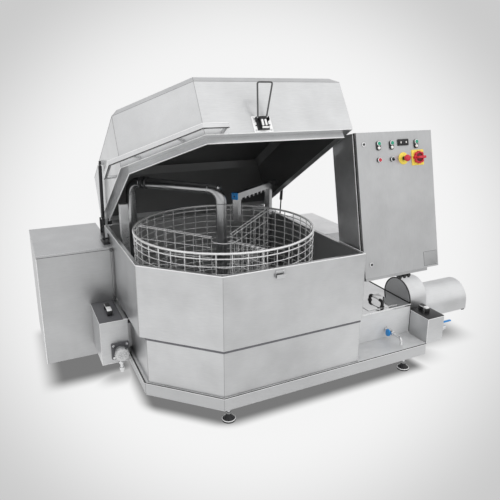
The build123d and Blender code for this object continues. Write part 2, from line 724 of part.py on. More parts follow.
# Feed pipe: riser and drop pipe with their elbows, and the run between them, butted at the elbows' ends
pipe_radius = 35.0
pipe_wall = 2.5
pipe_bend = 80.0
pipe_height = 1220.0
drop_bottom = 640.0
riser_inset = 175.0
riser_setback = 105.0
drop_offset = 22.0
riser_x = tub_left + riser_inset
riser_y = tub_back - riser_setback
drop_x = axis_x - drop_offset
drop_y = axis_y
union_radius = 40.0
union_width = 16.0
pipe_run = Vector(drop_x - riser_x, drop_y - riser_y, 0)
pipe_way = pipe_run.normalized()
with BuildPart() as feed_pipe:
    with BuildLine():
        Polyline(*eased([(riser_x, riser_y, floor_top), (riser_x, riser_y, pipe_height),
                         (drop_x, drop_y, pipe_height), (drop_x, drop_y, drop_bottom)], pipe_bend))
    with BuildSketch(Plane.XY.offset(floor_top)):
        with Locations((riser_x, riser_y)):
            RegularPolygon(pipe_radius, coarse_sides)
            RegularPolygon(pipe_radius - pipe_wall, wire_sides, mode=Mode.SUBTRACT)
    sweep(transition=Transition.RIGHT)
    union_plane = Plane((riser_x, riser_y, pipe_height), x_dir=(0, 0, 1), z_dir=tuple(pipe_way))
    for union_start in (pipe_bend + union_width, pipe_bend + 3 * union_width):
        with BuildSketch(union_plane.offset(union_start)):
            RegularPolygon(union_radius, coarse_sides)
            RegularPolygon(pipe_radius - pipe_wall / 2, coarse_sides, mode=Mode.SUBTRACT)
        extrude(amount=union_width)
    elbow_seam = pipe_bend + union_width / 2
    for seam in (elbow_seam, pipe_run.length - elbow_seam):
        with BuildSketch(union_plane.offset(seam)):
            RegularPolygon(union_radius, coarse_sides)
        extrude(amount=panel_gap, mode=Mode.SUBTRACT)
keep("feed_pipe", feed_pipe)

# Side post: square spray post in the tub's left part
post_size = 50.0
post_wall = 3.0
post_inset = 66.0
post_setback = 370.0
post_x = tub_left + post_inset
post_y = tub_back - post_setback
post_top = 1128.0
with BuildPart() as side_post:
    block((post_x - post_size / 2, post_x + post_size / 2), (post_y - post_size / 2, post_y + post_size / 2),
          (floor_top, post_top))
    block((post_x - post_size / 2 + post_wall, post_x + post_size / 2 - post_wall),
          (post_y - post_size / 2 + post_wall, post_y + post_size / 2 - post_wall),
          (floor_top, post_top - post_wall), Mode.SUBTRACT)
keep("side_post", side_post)

# Spray bar over the basket: square tube on an upright, with a drop post at its inner end
bar_size = 40.0
bar_wall = 2.5
bar_bottom = 1128.0
bar_angle = 35.0
bar_length = 590.0
bar_offset_x = 122.0
bar_offset_y = 104.0
bar_start_x = axis_x + bar_offset_x
bar_start_y = axis_y + bar_offset_y
upright_reach = 472.0
drop_post_reach = 22.0
drop_post_bottom = 972.0
bar_turn = math.radians(bar_angle)
bar_plane = Plane((bar_start_x, bar_start_y, bar_bottom), x_dir=(math.cos(bar_turn), math.sin(bar_turn), 0),
                  z_dir=(0, 0, 1))
bar_half = bar_size / 2


def square_tube(reach, bottom, top):
    """Upright square tube under the spray bar, at a distance from the bar's inner end."""
    for half, mode in ((bar_half, Mode.ADD), (bar_half - bar_wall, Mode.SUBTRACT)):
        block((reach - half, reach + half), (-half, half), (bottom - bar_bottom, top - bar_bottom), mode,
              bar_plane)


with BuildPart() as spray_bar:
    square_tube(upright_reach, floor_top, bar_bottom)
    square_tube(drop_post_reach, drop_post_bottom, bar_bottom)
    block((0, bar_length), (-bar_half, bar_half), (0, bar_size), plane=bar_plane)
    block((0, bar_length - bar_wall), (-bar_half + bar_wall, bar_half - bar_wall),
          (bar_wall, bar_size - bar_wall), Mode.SUBTRACT, bar_plane)
keep("spray_bar", spray_bar)

cap_plate = 10.0
cap_overhang = 3.0
cap_plug = 15.0
with BuildPart() as spray_bar_cap:
    block((-cap_plate, 0), (-bar_half - cap_overhang, bar_half + cap_overhang),
          (-cap_overhang, bar_size + cap_overhang), plane=bar_plane)
    block((0, cap_plug), (-bar_half + bar_wall + lift_gap, bar_half - bar_wall - lift_gap),
          (bar_wall + lift_gap, bar_size - bar_wall - lift_gap), plane=bar_plane)
keep("spray_bar_cap", spray_bar_cap)

# Spray nozzles: a row of hexagonal nozzles under the bar
nozzle_count = 7
nozzle_pitch = 56.0
nozzle_radius = 8.0
nozzle_length = 24.0
nozzle_start = 76.0
with BuildPart() as spray_nozzles:
    with BuildSketch(bar_plane.offset(-nozzle_length)):
        for nozzle in range(nozzle_count):
            with Locations((nozzle_start + nozzle * nozzle_pitch, 0)):
                RegularPolygon(nozzle_radius, 6)
    extrude(amount=nozzle_length)
keep("spray_nozzles", spray_nozzles)

# Hood lid: shell with upright sides and a bevelled top, drawn closed and held open about its hinge
hinge_setback = 85.0
hinge_drop = 36.0
open_angle = 31.3
lid_overhang = 10.0
band_sheet = 2.5
lid_wall_top = 318.0
lid_bevel_rise = 48.0
lid_bevel_inset = 40.0
hinge_y = tub_back + hinge_setback
hinge_z = rim_height - hinge_drop
open_turn = math.radians(open_angle)
lid_plane = Plane((0, hinge_y, hinge_z), x_dir=(1, 0, 0),
                  z_dir=(0, math.sin(open_turn), math.cos(open_turn)))
band_bottom = hinge_drop + seal_gap
band_top = band_bottom + band_sheet
wall_top = hinge_drop + lid_wall_top
roof_top = wall_top + lid_bevel_rise


def lid_corners(inset):
    """The tub's outline in the lid's own plane, measured from the hinge line."""
    return [(x, y - hinge_y) for x, y in tub_corners(inset)]


def lid_prism(inset, bottom, top, mode=Mode.ADD):
    """Prism in the lid's own frame over the outline."""
    with BuildSketch(lid_plane.offset(bottom)) as outline:
        Polygon(*lid_corners(inset))
    extrude(outline.sketch, amount=top - bottom, mode=mode)


def lid_bevel(low_inset, bottom, high_inset, top, mode=Mode.ADD):
    """Sloped stage of the lid between two outlines."""
    with BuildSketch(lid_plane.offset(bottom)) as low_outline:
        Polygon(*lid_corners(low_inset))
    with BuildSketch(lid_plane.offset(top)) as high_outline:
        Polygon(*lid_corners(high_inset))
    loft([low_outline.sketch, high_outline.sketch], ruled=True, mode=mode)


with BuildPart() as lid_hood:
    lid_prism(-lid_overhang, band_top, wall_top)
    lid_bevel(-lid_overhang, wall_top, lid_bevel_inset - lid_overhang, roof_top)
    inner = cover_sheet - lid_overhang
    lid_prism(inner, band_top, wall_top - cover_sheet / 2, Mode.SUBTRACT)
    lid_bevel(inner, wall_top - cover_sheet / 2, inner + lid_bevel_inset - cover_sheet / 2,
              roof_top - cover_sheet, Mode.SUBTRACT)
keep("lid_hood", lid_hood)

# Lid band: flange under the hood's walls, a lip that hangs inside the tub's rim,
# and a splash flap below its back edge between the hinges
lip_outer = 34.0
lip_depth = 30.0
flap_depth = 60.0
flap_end_gap = 8.0
hinge_width = 52.0
hinge_spots = (tub_left + hinge_width / 2, tub_right - hinge_width / 2)
lid_back = tub_back + lid_overhang - hinge_y
with BuildPart() as lid_band:
    lid_prism(-lid_overhang, band_bottom, band_top)
    lid_prism(lip_outer, band_bottom - lip_depth, band_bottom)
    lid_prism(lip_outer + band_sheet, band_bottom - lip_depth, band_top, Mode.SUBTRACT)
    block(grown(hinge_spots, -hinge_width / 2 - flap_end_gap), (lid_back - band_sheet, lid_back),
          (band_bottom - panel_gap - flap_depth, band_bottom - panel_gap), plane=lid_plane)
keep("lid_band", lid_band)

# Lid rail: grip bar round the hood's front left corner on stand-offs
rail_offset = 70.0
rail_thickness = 14.0
rail_height = 26.0
rail_rise = 6.0
rail_front_end = 112.0
rail_left_end = 175.0
standoff = 14.0
rail_bottom = band_top + rail_rise


def rail_points(offset):
    """The rail's path at a distance outside the tub's outline, from its front end to its left end."""
    corners = lid_corners(-offset)
    return [
        (tub_left + corner_cut + rail_front_end, corners[0][1]),
        corners[0],
        corners[4],
        (corners[4][0], tub_front - hinge_y + corner_cut + rail_left_end),
    ]


with BuildPart() as lid_rail:
    rail_outer = rail_offset + rail_thickness / 2
    rail_inner = rail_offset - rail_thickness / 2
    with BuildSketch(lid_plane.offset(rail_bottom)):
        Polygon(*rail_points(rail_outer), *reversed(rail_points(rail_inner)))
    extrude(amount=rail_height)
    rail_reach = rail_inner - lid_overhang
    rail_mid = lid_overhang + rail_reach / 2
    front_end, front_corner, left_corner, left_end = rail_points(rail_mid)
    with BuildSketch(lid_plane.offset(rail_bottom)):
        with Locations((front_end[0] - standoff, front_end[1])):
            Rectangle(standoff, rail_reach + rail_thickness)
        for share in (0.25, 0.75):
            spot_x = front_corner[0] + share * (left_corner[0] - front_corner[0])
            spot_y = front_corner[1] + share * (left_corner[1] - front_corner[1])
            with Locations((spot_x, spot_y)):
                Rectangle(standoff, rail_reach + 2 * cover_sheet, rotation=-45)
        with Locations((left_end[0], left_end[1] - standoff)):
            Rectangle(rail_reach + rail_thickness, standoff)
    extrude(amount=standoff)
    lid_prism(-lid_overhang, band_top, wall_top, Mode.SUBTRACT)
keep("lid_rail", lid_rail)

# Latch on the lid's front: plate with a slotted body, and a wire bail that swings on it
latch_x = tub_left + corner_cut + 340.0
latch_plate_width = 116.0
latch_plate_height = 100.0
latch_plate_sheet = 4.0
latch_body_width = 62.0
latch_body_height = 74.0
latch_body_depth = 26.0
latch_pivot_rise = 84.0
bail_wire = 3.0
bail_length = 184.0
bail_foot_width = 66.0
bail_top_width = 94.0
bail_lean = 28.5
pin_depth = 14.0
lid_front = tub_front - lid_overhang - hinge_y
pivot_out = lid_front - latch_body_depth + bail_wire + 5.0
pivot_up = hinge_drop + latch_pivot_rise
with BuildPart() as latch_plate:
    block((latch_x - latch_plate_width / 2, latch_x + latch_plate_width / 2),
          (lid_front - latch_plate_sheet, lid_front), (band_bottom, band_bottom + latch_plate_height),
          plane=lid_plane)
    block((latch_x - latch_body_width / 2, latch_x + latch_body_width / 2),
          (lid_front - latch_body_depth, lid_front - latch_plate_sheet),
          (pivot_up + 2 * bail_wire - latch_body_height, pivot_up + 2 * bail_wire), plane=lid_plane)
    side_plane = Plane(lid_plane.from_local_coords(Vector(latch_x, pivot_out, pivot_up)),
                       x_dir=lid_plane.y_dir, z_dir=(1, 0, 0))
    drum(side_plane, (0, 0), bail_wire + run_gap, (-latch_body_width / 2, latch_body_width / 2),
         Mode.SUBTRACT)
keep("latch_plate", latch_plate)

with BuildPart() as latch_bail:
    lean = math.radians(bail_lean - open_angle)
    bail_way = (0, -math.sin(lean), math.cos(lean))
    bail_normal = (0, -math.cos(lean), -math.sin(lean))
    bail_plane = Plane(side_plane.origin, x_dir=(1, 0, 0), z_dir=bail_normal)
    inner_end = latch_body_width / 2 - pin_depth
    foot = bail_foot_width / 2 + bail_wire
    top = bail_top_width / 2
    with BuildLine(bail_plane):
        Polyline((-inner_end, 0), (-foot, 0), (-top, bail_length), (top, bail_length), (foot, 0),
                 (inner_end, 0))
    with BuildSketch(Plane(bail_plane.from_local_coords(Vector(-inner_end, 0, 0)), z_dir=(-1, 0, 0))):
        RegularPolygon(bail_wire, wire_sides)
    sweep(transition=Transition.RIGHT)
keep("latch_bail", latch_bail)

# Latch keeper on the tub's front wall: hooked plate
keeper_width = 58.0
keeper_height = 44.0
keeper_top = rim_height - 12.0
keeper_sheet = 4.0
with BuildPart() as latch_keeper:
    keeper_x_span = (latch_x - keeper_width / 2, latch_x + keeper_width / 2)
    block(keeper_x_span, (tub_front - keeper_sheet, tub_front), (keeper_top - keeper_height, keeper_top))
    block(keeper_x_span, (tub_front - keeper_reach, tub_front - keeper_sheet),
          (keeper_top - keeper_height, keeper_top - keeper_height + keeper_sheet))
    block(keeper_x_span, (tub_front - keeper_reach, tub_front - keeper_reach + keeper_sheet),
          (keeper_top - keeper_height + keeper_sheet, keeper_top - keeper_height / 2))
keep("latch_keeper", latch_keeper)

# Lid hinges: cheeks and a pin on the tub's back wall, and an arm on the lid between the cheeks
cheek = 6.0
hinge_arm = 14.0
knuckle_radius = 17.0
hinge_pin_radius = 8.0
pin_overhang = 5.0
cheek_height = 70.0
arm_height_on_lid = 90.0
hinge_side = Plane((0, hinge_y, hinge_z), x_dir=(0, 1, 0), z_dir=(1, 0, 0))


def hinge_leaf(plane, foot_x, foot_low, foot_high, span):
    """Flat leaf from a wall to the hinge knuckle, in a side plane."""
    with BuildSketch(plane.offset(span[0])) as outline:
        RegularPolygon(knuckle_radius, wire_sides)
        Polygon((foot_x, foot_low), (0, -knuckle_radius), (knuckle_radius, 0), (0, knuckle_radius),
                (foot_x, foot_high))
    extrude(outline.sketch, amount=span[1] - span[0])


lid_side = Plane((0, hinge_y, hinge_z), x_dir=lid_plane.y_dir, z_dir=(1, 0, 0))

# Gas struts: pivot brackets on the tub, bosses on the lid, rods below and tubes above
strut_foot_setback = 1146.0
strut_foot_y = tub_front + strut_foot_setback
strut_foot_z = 846.0
strut_lid_setback = 872.0
strut_lid_y = tub_front + strut_lid_setback
strut_lid_rise = 253.0
strut_offset = 30.0
strut_eye_radius = 11.0
strut_eye_width = 12.0
strut_pin_radius = 6.0
strut_rod_radius = 5.0
strut_tube_radius = 11.0
strut_rod_length = 230.0
strut_tube_start = 150.0
strut_neck_radius = 5.5
strut_end_wall = 8.0
bracket_size = 40.0
bracket_sheet = 5.0
strut_boss_radius = 14.0
boss_centre = lid_plane.from_local_coords(Vector(0, strut_lid_y - hinge_y, hinge_drop + strut_lid_rise))
strut_y = boss_centre.Y - strut_foot_y
strut_z = boss_centre.Z - strut_foot_z
strut_length = math.hypot(strut_y, strut_z)
strut_way = (0, strut_y / strut_length, strut_z / strut_length)
strut_tube_end = strut_length - strut_boss_radius - strut_end_wall
strut_sides = {"left": (tub_left, -1), "right": (tub_right, 1)}


def along_x(wall, side, near, far):
    """Span on X between two distances out from a side wall."""
    return tuple(sorted((wall + side * near, wall + side * far)))


with BuildPart() as tub_lugs:
    for spot in hinge_spots:
        for start in (spot - hinge_width / 2, spot + hinge_width / 2 - cheek):
            hinge_leaf(hinge_side, -hinge_setback, -cheek_height, 0, (start, start + cheek))
        facet_bar(hinge_side, (0, 0), hinge_pin_radius,
                  grown((spot - hinge_width / 2, spot + hinge_width / 2), -cheek / 2), coarse_sides)
        for end in (spot - hinge_width / 2 - pin_overhang, spot + hinge_width / 2):
            facet_bar(hinge_side, (0, 0), hinge_pin_radius + 1, (end, end + pin_overhang), wire_sides)
    for wall, side in strut_sides.values():
        block((strut_foot_y - bracket_size / 2, strut_foot_y + bracket_size / 2),
              (strut_foot_z - strut_eye_radius, strut_foot_z + bracket_size - strut_eye_radius),
              along_x(wall, side, 0, bracket_sheet), plane=Plane.YZ)
        facet_bar(Plane.YZ, (strut_foot_y, strut_foot_z), strut_pin_radius,
                  along_x(wall, side, bracket_sheet, strut_offset + strut_eye_width), coarse_sides)
keep("tub_lugs", tub_lugs)

with BuildPart() as lid_lugs:
    for spot in hinge_spots:
        hinge_leaf(lid_side, lid_overhang - hinge_setback, band_top, band_top + arm_height_on_lid,
                   (spot - hinge_arm / 2, spot + hinge_arm / 2))
        drum(lid_side, (0, 0), hinge_pin_radius + run_gap,
             (spot - hinge_arm / 2, spot + hinge_arm / 2), Mode.SUBTRACT)
    for wall, side in strut_sides.values():
        facet_bar(lid_side, (strut_lid_y - hinge_y, hinge_drop + strut_lid_rise), strut_boss_radius,
                  along_x(wall, side, lid_overhang, strut_offset - strut_eye_width / 2 - pivot_gap),
                  coarse_sides)
keep("lid_lugs", lid_lugs)


def strut_planes(side_name):
    """Plane square to a strut at its foot, and the strut eyes' span on X."""
    wall, side = strut_sides[side_name]
    centre = wall + side * strut_offset
    plane = Plane((centre, strut_foot_y, strut_foot_z), x_dir=(1, 0, 0), z_dir=strut_way)
    return plane, (centre - strut_eye_width / 2, centre + strut_eye_width / 2)


for side_name in strut_sides:
    strut_plane, eye_span = strut_planes(side_name)
    with BuildPart() as strut_rod:
        facet_bar(strut_plane, (0, 0), strut_rod_radius, (0, strut_rod_length), coarse_sides)
        facet_bar(Plane.YZ, (strut_foot_y, strut_foot_z), strut_eye_radius, eye_span, coarse_sides)
        drum(Plane.YZ, (strut_foot_y, strut_foot_z), strut_pin_radius + run_gap, eye_span, Mode.SUBTRACT)
    keep("strut_rod_" + side_name, strut_rod)
    with BuildPart() as strut_tube:
        facet_bar(strut_plane, (0, 0), strut_tube_radius, (strut_tube_start, strut_tube_end), coarse_sides)
        facet_bar(strut_plane, (0, 0), strut_neck_radius, (strut_tube_end, strut_length), wire_sides)
        facet_bar(Plane.YZ, (boss_centre.Y, boss_centre.Z), strut_eye_radius, eye_span, coarse_sides)
        facet_bar(strut_plane, (0, 0), strut_rod_radius + run_gap,
                  (strut_tube_start, strut_tube_end - strut_end_wall), coarse_sides, Mode.SUBTRACT)
    keep("strut_tube_" + side_name, strut_tube)

# Control cabinet: open-fronted case leaning back on a bracket beside the tub
cabinet_width = 590.0
cabinet_height = 884.0
cabinet_depth = 256.0
cabinet_lean = 11.8
cabinet_gap = 18.0
cabinet_setback = 10.0
cabinet_bottom = 730.0
door_depth = 18.0
case_flange = 25.0
bracket_width = 495.0
bracket_plate = 4.0
bracket_leg = 150.0
bracket_front = 30.0
bracket_back = 240.0
cabinet_turn = math.radians(cabinet_lean)
cabinet_plane = Plane((tub_right + cabinet_gap, tub_front + cabinet_setback, cabinet_bottom),
                      x_dir=(1, 0, 0), z_dir=(0, -math.cos(cabinet_turn), math.sin(cabinet_turn)))
case_front = -door_depth - door_gap
case_x_span = (0, cabinet_width)
case_y_span = (0, cabinet_height)
barrel_radius = 6.0
barrel_length = 34.0
barrel_pin = 3.0
barrel_offset = cabinet_width + barrel_radius + 1.0
barrel_depth = -door_depth - door_gap / 2
leaf = 3.0
barrel_spots = (110.0, cabinet_height - 110.0 - 2 * barrel_length)
barrel_plane = Plane(cabinet_plane.from_local_coords(Vector(barrel_offset, 0, barrel_depth)),
                     x_dir=(1, 0, 0), z_dir=cabinet_plane.y_dir)
with BuildPart() as cabinet_case:
    block(case_x_span, case_y_span, (-cabinet_depth, case_front - cover_sheet - panel_gap), plane=cabinet_plane)
    block(grown(case_x_span, -cover_sheet), grown(case_y_span, -cover_sheet),
          (cover_sheet - cabinet_depth, case_front), Mode.SUBTRACT, cabinet_plane)
    block(case_x_span, case_y_span, (case_front - cover_sheet, case_front), plane=cabinet_plane)
    block(grown(case_x_span, -case_flange), grown(case_y_span, -case_flange),
          (case_front - cover_sheet, case_front), Mode.SUBTRACT, cabinet_plane)
    for spot in barrel_spots:
        facet_bar(barrel_plane, (0, 0), barrel_radius, (spot, spot + barrel_length), wire_sides)
        drum(barrel_plane, (0, 0), barrel_pin, (spot + barrel_length, spot + 1.6 * barrel_length))
        block((cabinet_width, barrel_offset), (spot, spot + barrel_length),
              (case_front - 4 * leaf, case_front - leaf), plane=cabinet_plane)
keep("cabinet_case", cabinet_case)

with BuildPart() as cabinet_bracket:
    block((-cabinet_gap, bracket_width), (-bracket_plate, 0), (-bracket_back, -bracket_front),
          plane=cabinet_plane)
    block((-cabinet_gap, bracket_plate - cabinet_gap), (0, bracket_leg), (-bracket_back, -bracket_front),
          plane=cabinet_plane)
    block((bracket_plate - cabinet_gap, 0), (0, bracket_plate), (-bracket_back, -bracket_front),
          plane=cabinet_plane)
    block((bracket_plate - cabinet_gap, 0), (bracket_leg - bracket_plate, bracket_leg),
          (-bracket_back, -bracket_front), plane=cabinet_plane)
keep("cabinet_bracket", cabinet_bracket)

# Places of the controls on the door, measured from its lower left corner
upper_row = cabinet_height - 70.0
lower_row = upper_row - 100.0
lens_drop = 27.0
button_columns = {"left": 160.0, "middle": 261.0, "right": 457.0}
display_column = 353.0
red_column = 160.0
selector_column = 261.0
stop_column = 350.0
switch_column = 466.0
lock_column = 51.0
lock_rows = {"upper": cabinet_height - 71.0, "lower": 80.0}
button_radius = 11.0
button_hole = 11.5
lock_radius = 8.0
round_holes = [(column, upper_row) for column in button_columns.values()]
round_holes += [(red_column, lower_row), (selector_column, lower_row), (stop_column, lower_row),
                (switch_column, lower_row)]

# Cabinet door: folded pan with holes for the controls and locks, hinged on its right edge
with BuildPart() as cabinet_door:
    block(case_x_span, case_y_span, (-door_depth, 0), plane=cabinet_plane)
    block(grown(case_x_span, -cover_sheet), grown(case_y_span, -cover_sheet),
          (-door_depth, -cover_sheet), Mode.SUBTRACT, cabinet_plane)
    with BuildSketch(cabinet_plane.offset(-cover_sheet)):
        with Locations(*round_holes):
            RegularPolygon(button_hole, wire_sides, major_radius=False)
        with Locations(*[(lock_column, row) for row in lock_rows.values()]):
            RegularPolygon(lock_radius + run_gap, wire_sides, major_radius=False)
    extrude(amount=cover_sheet, mode=Mode.SUBTRACT)
    for spot in barrel_spots:
        upper_span = (spot + barrel_length + door_gap, spot + 2 * barrel_length)
        block((cabinet_width, barrel_offset), upper_span, (-door_depth, 2 * leaf - door_depth),
              plane=cabinet_plane)
        facet_bar(barrel_plane, (0, 0), barrel_radius, upper_span, wire_sides)
        drum(barrel_plane, (0, 0), barrel_pin + run_gap, upper_span, Mode.SUBTRACT)
keep("cabinet_door", cabinet_door)

# Door locks: slotted head, barrel and a cam behind the door
lock_head_radius = 12.0
lock_head_height = 4.0
lock_cam_length = 44.0
lock_cam_width = 14.0
lock_cam_back = case_front - cover_sheet - door_gap
for lock_name, lock_row in lock_rows.items():
    with BuildPart() as door_lock:
        facet_bar(cabinet_plane, (lock_column, lock_row), lock_head_radius, (lift_gap, lock_head_height),
                  coarse_sides)
        drum(cabinet_plane, (lock_column, lock_row), lock_radius, (lock_cam_back, lift_gap))
        block((lock_column - lock_cam_width / 2, lock_column + lock_cam_width / 2),
              (lock_row - lock_cam_length, lock_row + lock_cam_width / 2),
              (lock_cam_back - leaf, lock_cam_back), plane=cabinet_plane)
    keep("door_lock_" + lock_name, door_lock)

# Fixed control parts on the door: bezels, pilot lenses, display, stop plate and switch plate
bezel_radius = 15.0
bezel_height = 8.0
lens_radius = 10.0
lens_height = 13.0
display_width = 66.0
display_height = 40.0
stop_plate_radius = 38.0
switch_plate_width = 84.0
switch_plate_height = 90.0
plate_sheet = 3.0
stop_neck_bore = 12.2
switch_hub_radius = 10.0
with BuildPart() as control_bezels:
    for column in button_columns.values():
        with BuildSketch(cabinet_plane):
            with Locations((column, upper_row), (column, upper_row - lens_drop)):
                RegularPolygon(bezel_radius, coarse_sides, rotation=180 / coarse_sides, major_radius=False)
            with Locations((column, upper_row - lens_drop / 2)):
                Rectangle(2 * bezel_radius, lens_drop)
            with Locations((column, upper_row)):
                RegularPolygon(button_radius + run_gap, fine_sides, mode=Mode.SUBTRACT)
        extrude(amount=bezel_height)
        facet_bar(cabinet_plane, (column, upper_row - lens_drop), lens_radius, (bezel_height, lens_height),
                  coarse_sides)
    for column in (red_column, selector_column):
        with BuildSketch(cabinet_plane):
            with Locations((column, lower_row)):
                RegularPolygon(bezel_radius, coarse_sides)
                RegularPolygon(button_radius + run_gap, fine_sides, mode=Mode.SUBTRACT)
        extrude(amount=bezel_height)
    block((display_column - display_width / 2, display_column + display_width / 2),
          (upper_row - display_height / 2, upper_row + display_height / 2), (0, bezel_height),
          plane=cabinet_plane)
    with BuildSketch(cabinet_plane):
        with Locations((stop_column, lower_row)):
            RegularPolygon(stop_plate_radius, fine_sides)
            RegularPolygon(button_radius + run_gap, fine_sides, mode=Mode.SUBTRACT)
        with Locations((switch_column, lower_row)):
            Rectangle(switch_plate_width, switch_plate_height)
            RegularPolygon(switch_hub_radius + run_gap, coarse_sides, major_radius=False, mode=Mode.SUBTRACT)
    extrude(amount=plate_sheet)
keep("control_bezels", control_bezels)

# Push buttons: plungers in their bezels
button_front = 17.0
button_back = -14.0
button_places = {"green_button_" + name: (column, upper_row) for name, column in button_columns.items()}
button_places["red_button"] = (red_column, lower_row)
for button_name, place in button_places.items():
    with BuildPart() as push_button:
        facet_bar(cabinet_plane, place, button_radius, (button_back, button_front), fine_sides)
    keep(button_name, push_button)

# Selector: knob with a grip bar
selector_front = 14.0
selector_radius = button_radius * math.cos(math.pi / fine_sides)
grip_height = 10.0
grip_width = 6.0
with BuildPart() as selector_knob:
    drum(cabinet_plane, (selector_column, lower_row), selector_radius, (button_back, selector_front))
    block((selector_column - grip_width / 2, selector_column + grip_width / 2),
          (lower_row - button_radius + 1, lower_row + button_radius - 1),
          (selector_front, selector_front + grip_height), plane=cabinet_plane)
keep("selector_knob", selector_knob)

# Stop button: mushroom head on a neck
mushroom_radius = 21.0
mushroom_start = 32.0
mushroom_rim = 10.0
mushroom_crown = 9.0
mushroom_slope = 50.0
with BuildPart() as stop_button:
    facet_bar(cabinet_plane, (stop_column, lower_row), button_radius, (button_back, mushroom_start), fine_sides)
    facet_bar(cabinet_plane, (stop_column, lower_row), mushroom_radius,
              (mushroom_start, mushroom_start + mushroom_rim), fine_sides)
    with BuildSketch(cabinet_plane.offset(mushroom_start + mushroom_rim)):
        with Locations((stop_column, lower_row)):
            RegularPolygon(mushroom_radius, fine_sides)
    extrude(amount=mushroom_crown, taper=mushroom_slope)
keep("stop_button", stop_button)

# Main switch: eight-sided collar with a grip bar
collar_radius = 34.0
collar_height = 22.0
switch_grip_length = 58.0
switch_grip_width = 15.0
switch_grip_height = 24.0
collar_bottom = plate_sheet + lift_gap
with BuildPart() as main_switch:
    with BuildSketch(cabinet_plane.offset(collar_bottom)):
        with Locations((switch_column, lower_row)):
            RegularPolygon(collar_radius, 8, rotation=22.5)
    extrude(amount=collar_height)
    block((switch_column - switch_grip_length / 2, switch_column + switch_grip_length / 2),
          (lower_row - switch_grip_width / 2, lower_row + switch_grip_width / 2),
          (collar_bottom + collar_height, collar_bottom + collar_height + switch_grip_height),
          plane=cabinet_plane)
    drum(cabinet_plane, (switch_column, lower_row), switch_hub_radius, (button_back, collar_bottom))
keep("main_switch", main_switch)

os.makedirs("parts", exist_ok=True)
for name, part in parts.items():
    export_step(part, "parts/" + name + ".step")
print(len(parts), "pieces written")
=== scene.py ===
"""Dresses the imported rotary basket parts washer: finishes, wires, fittings, controls and a pale studio."""
import json
import math

import bmesh
import bpy
from bpy.props import FloatProperty, FloatVectorProperty, IntProperty, PointerProperty
from mathutils import Matrix, Vector


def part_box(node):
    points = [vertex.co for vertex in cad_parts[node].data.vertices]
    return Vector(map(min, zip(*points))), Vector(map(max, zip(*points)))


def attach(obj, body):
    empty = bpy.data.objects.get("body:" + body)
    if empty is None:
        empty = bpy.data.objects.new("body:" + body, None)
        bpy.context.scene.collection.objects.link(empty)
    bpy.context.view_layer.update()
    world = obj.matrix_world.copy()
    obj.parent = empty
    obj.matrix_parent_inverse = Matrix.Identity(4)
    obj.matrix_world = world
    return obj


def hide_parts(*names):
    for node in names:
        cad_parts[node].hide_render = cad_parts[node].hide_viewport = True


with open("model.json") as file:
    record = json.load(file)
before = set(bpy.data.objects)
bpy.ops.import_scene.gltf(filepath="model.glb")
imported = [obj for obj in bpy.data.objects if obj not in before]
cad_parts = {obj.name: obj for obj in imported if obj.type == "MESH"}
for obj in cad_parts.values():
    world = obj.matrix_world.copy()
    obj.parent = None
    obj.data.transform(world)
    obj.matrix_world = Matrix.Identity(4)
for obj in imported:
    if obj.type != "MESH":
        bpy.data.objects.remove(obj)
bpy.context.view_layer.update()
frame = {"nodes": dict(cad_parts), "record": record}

bl_info = {
    "name": "Parts Washer Dresser",
    "version": (1, 0, 0),
    "blender": (4, 5, 0),
    "location": "3D View > Sidebar > Washer",
    "description": "Models the washer's wires, fittings and controls, and gives every solid its finish",
    "category": "Object",
}


# Frames of the leaning cabinet door, the open hood and the fittings

def facing(origin, outward, across=(1, 0, 0)):
    """Matrix of a local frame: Z points outward, X follows a given direction as far as it can."""
    z_axis = Vector(outward).normalized()
    x_axis = Vector(across) - z_axis * Vector(across).dot(z_axis)
    if x_axis.length < 1e-6:
        x_axis = z_axis.orthogonal()
    x_axis.normalize()
    y_axis = z_axis.cross(x_axis)
    return Matrix.Translation(origin) @ Matrix((x_axis, y_axis, z_axis)).transposed().to_4x4()


def moved(x, y, z=0.0):
    """Matrix of a plain move."""
    return Matrix.Translation((x, y, z))


def around(count, start=0.0):
    """Matrices of even turns about Z."""
    return [Matrix.Rotation(start + number * 2 * math.pi / count, 4, "Z") for number in range(count)]


# Profiles of turned solids, nuts and screws are in mm, all other lengths in metres
mm = 0.001
smooth_angle = math.radians(40)
front_way, up_way = Vector((0, -1, 0)), Vector((0, 0, 1))
tub_middle, hinge_back, hinge_height = -0.328, 0.540, 0.864
door_lean, hood_turn = math.radians(11.8), math.radians(31.3)
door_frame = facing((0.337, -0.825, 0.730), (0, -math.cos(door_lean), math.sin(door_lean)))
hood_frame = facing((0, hinge_back, hinge_height), (0, math.sin(hood_turn), math.cos(hood_turn)))
hood_front = hood_frame.to_3x3() @ front_way
basket_axis = Vector((tub_middle, -0.190, 0))
divider_turn = math.radians(33)
handle_rise = 0.042


# Modelling by hand: each helper starts from a primitive and shapes it in edit mode

def alone(*pieces):
    """Leaves only these pieces selected, the first of them active, in object mode."""
    if bpy.context.mode != "OBJECT":
        bpy.ops.object.mode_set(mode="OBJECT")
    bpy.ops.object.select_all(action="DESELECT")
    for piece in pieces:
        piece.select_set(True)
    if pieces:
        bpy.context.view_layer.objects.active = pieces[0]


def begin_edit():
    """Edit mode on the newest primitive, all of it selected, its place moved into its mesh."""
    bpy.ops.object.transform_apply(location=True, rotation=True, scale=True)
    bpy.ops.object.mode_set(mode="EDIT")
    bpy.ops.mesh.select_all(action="SELECT")


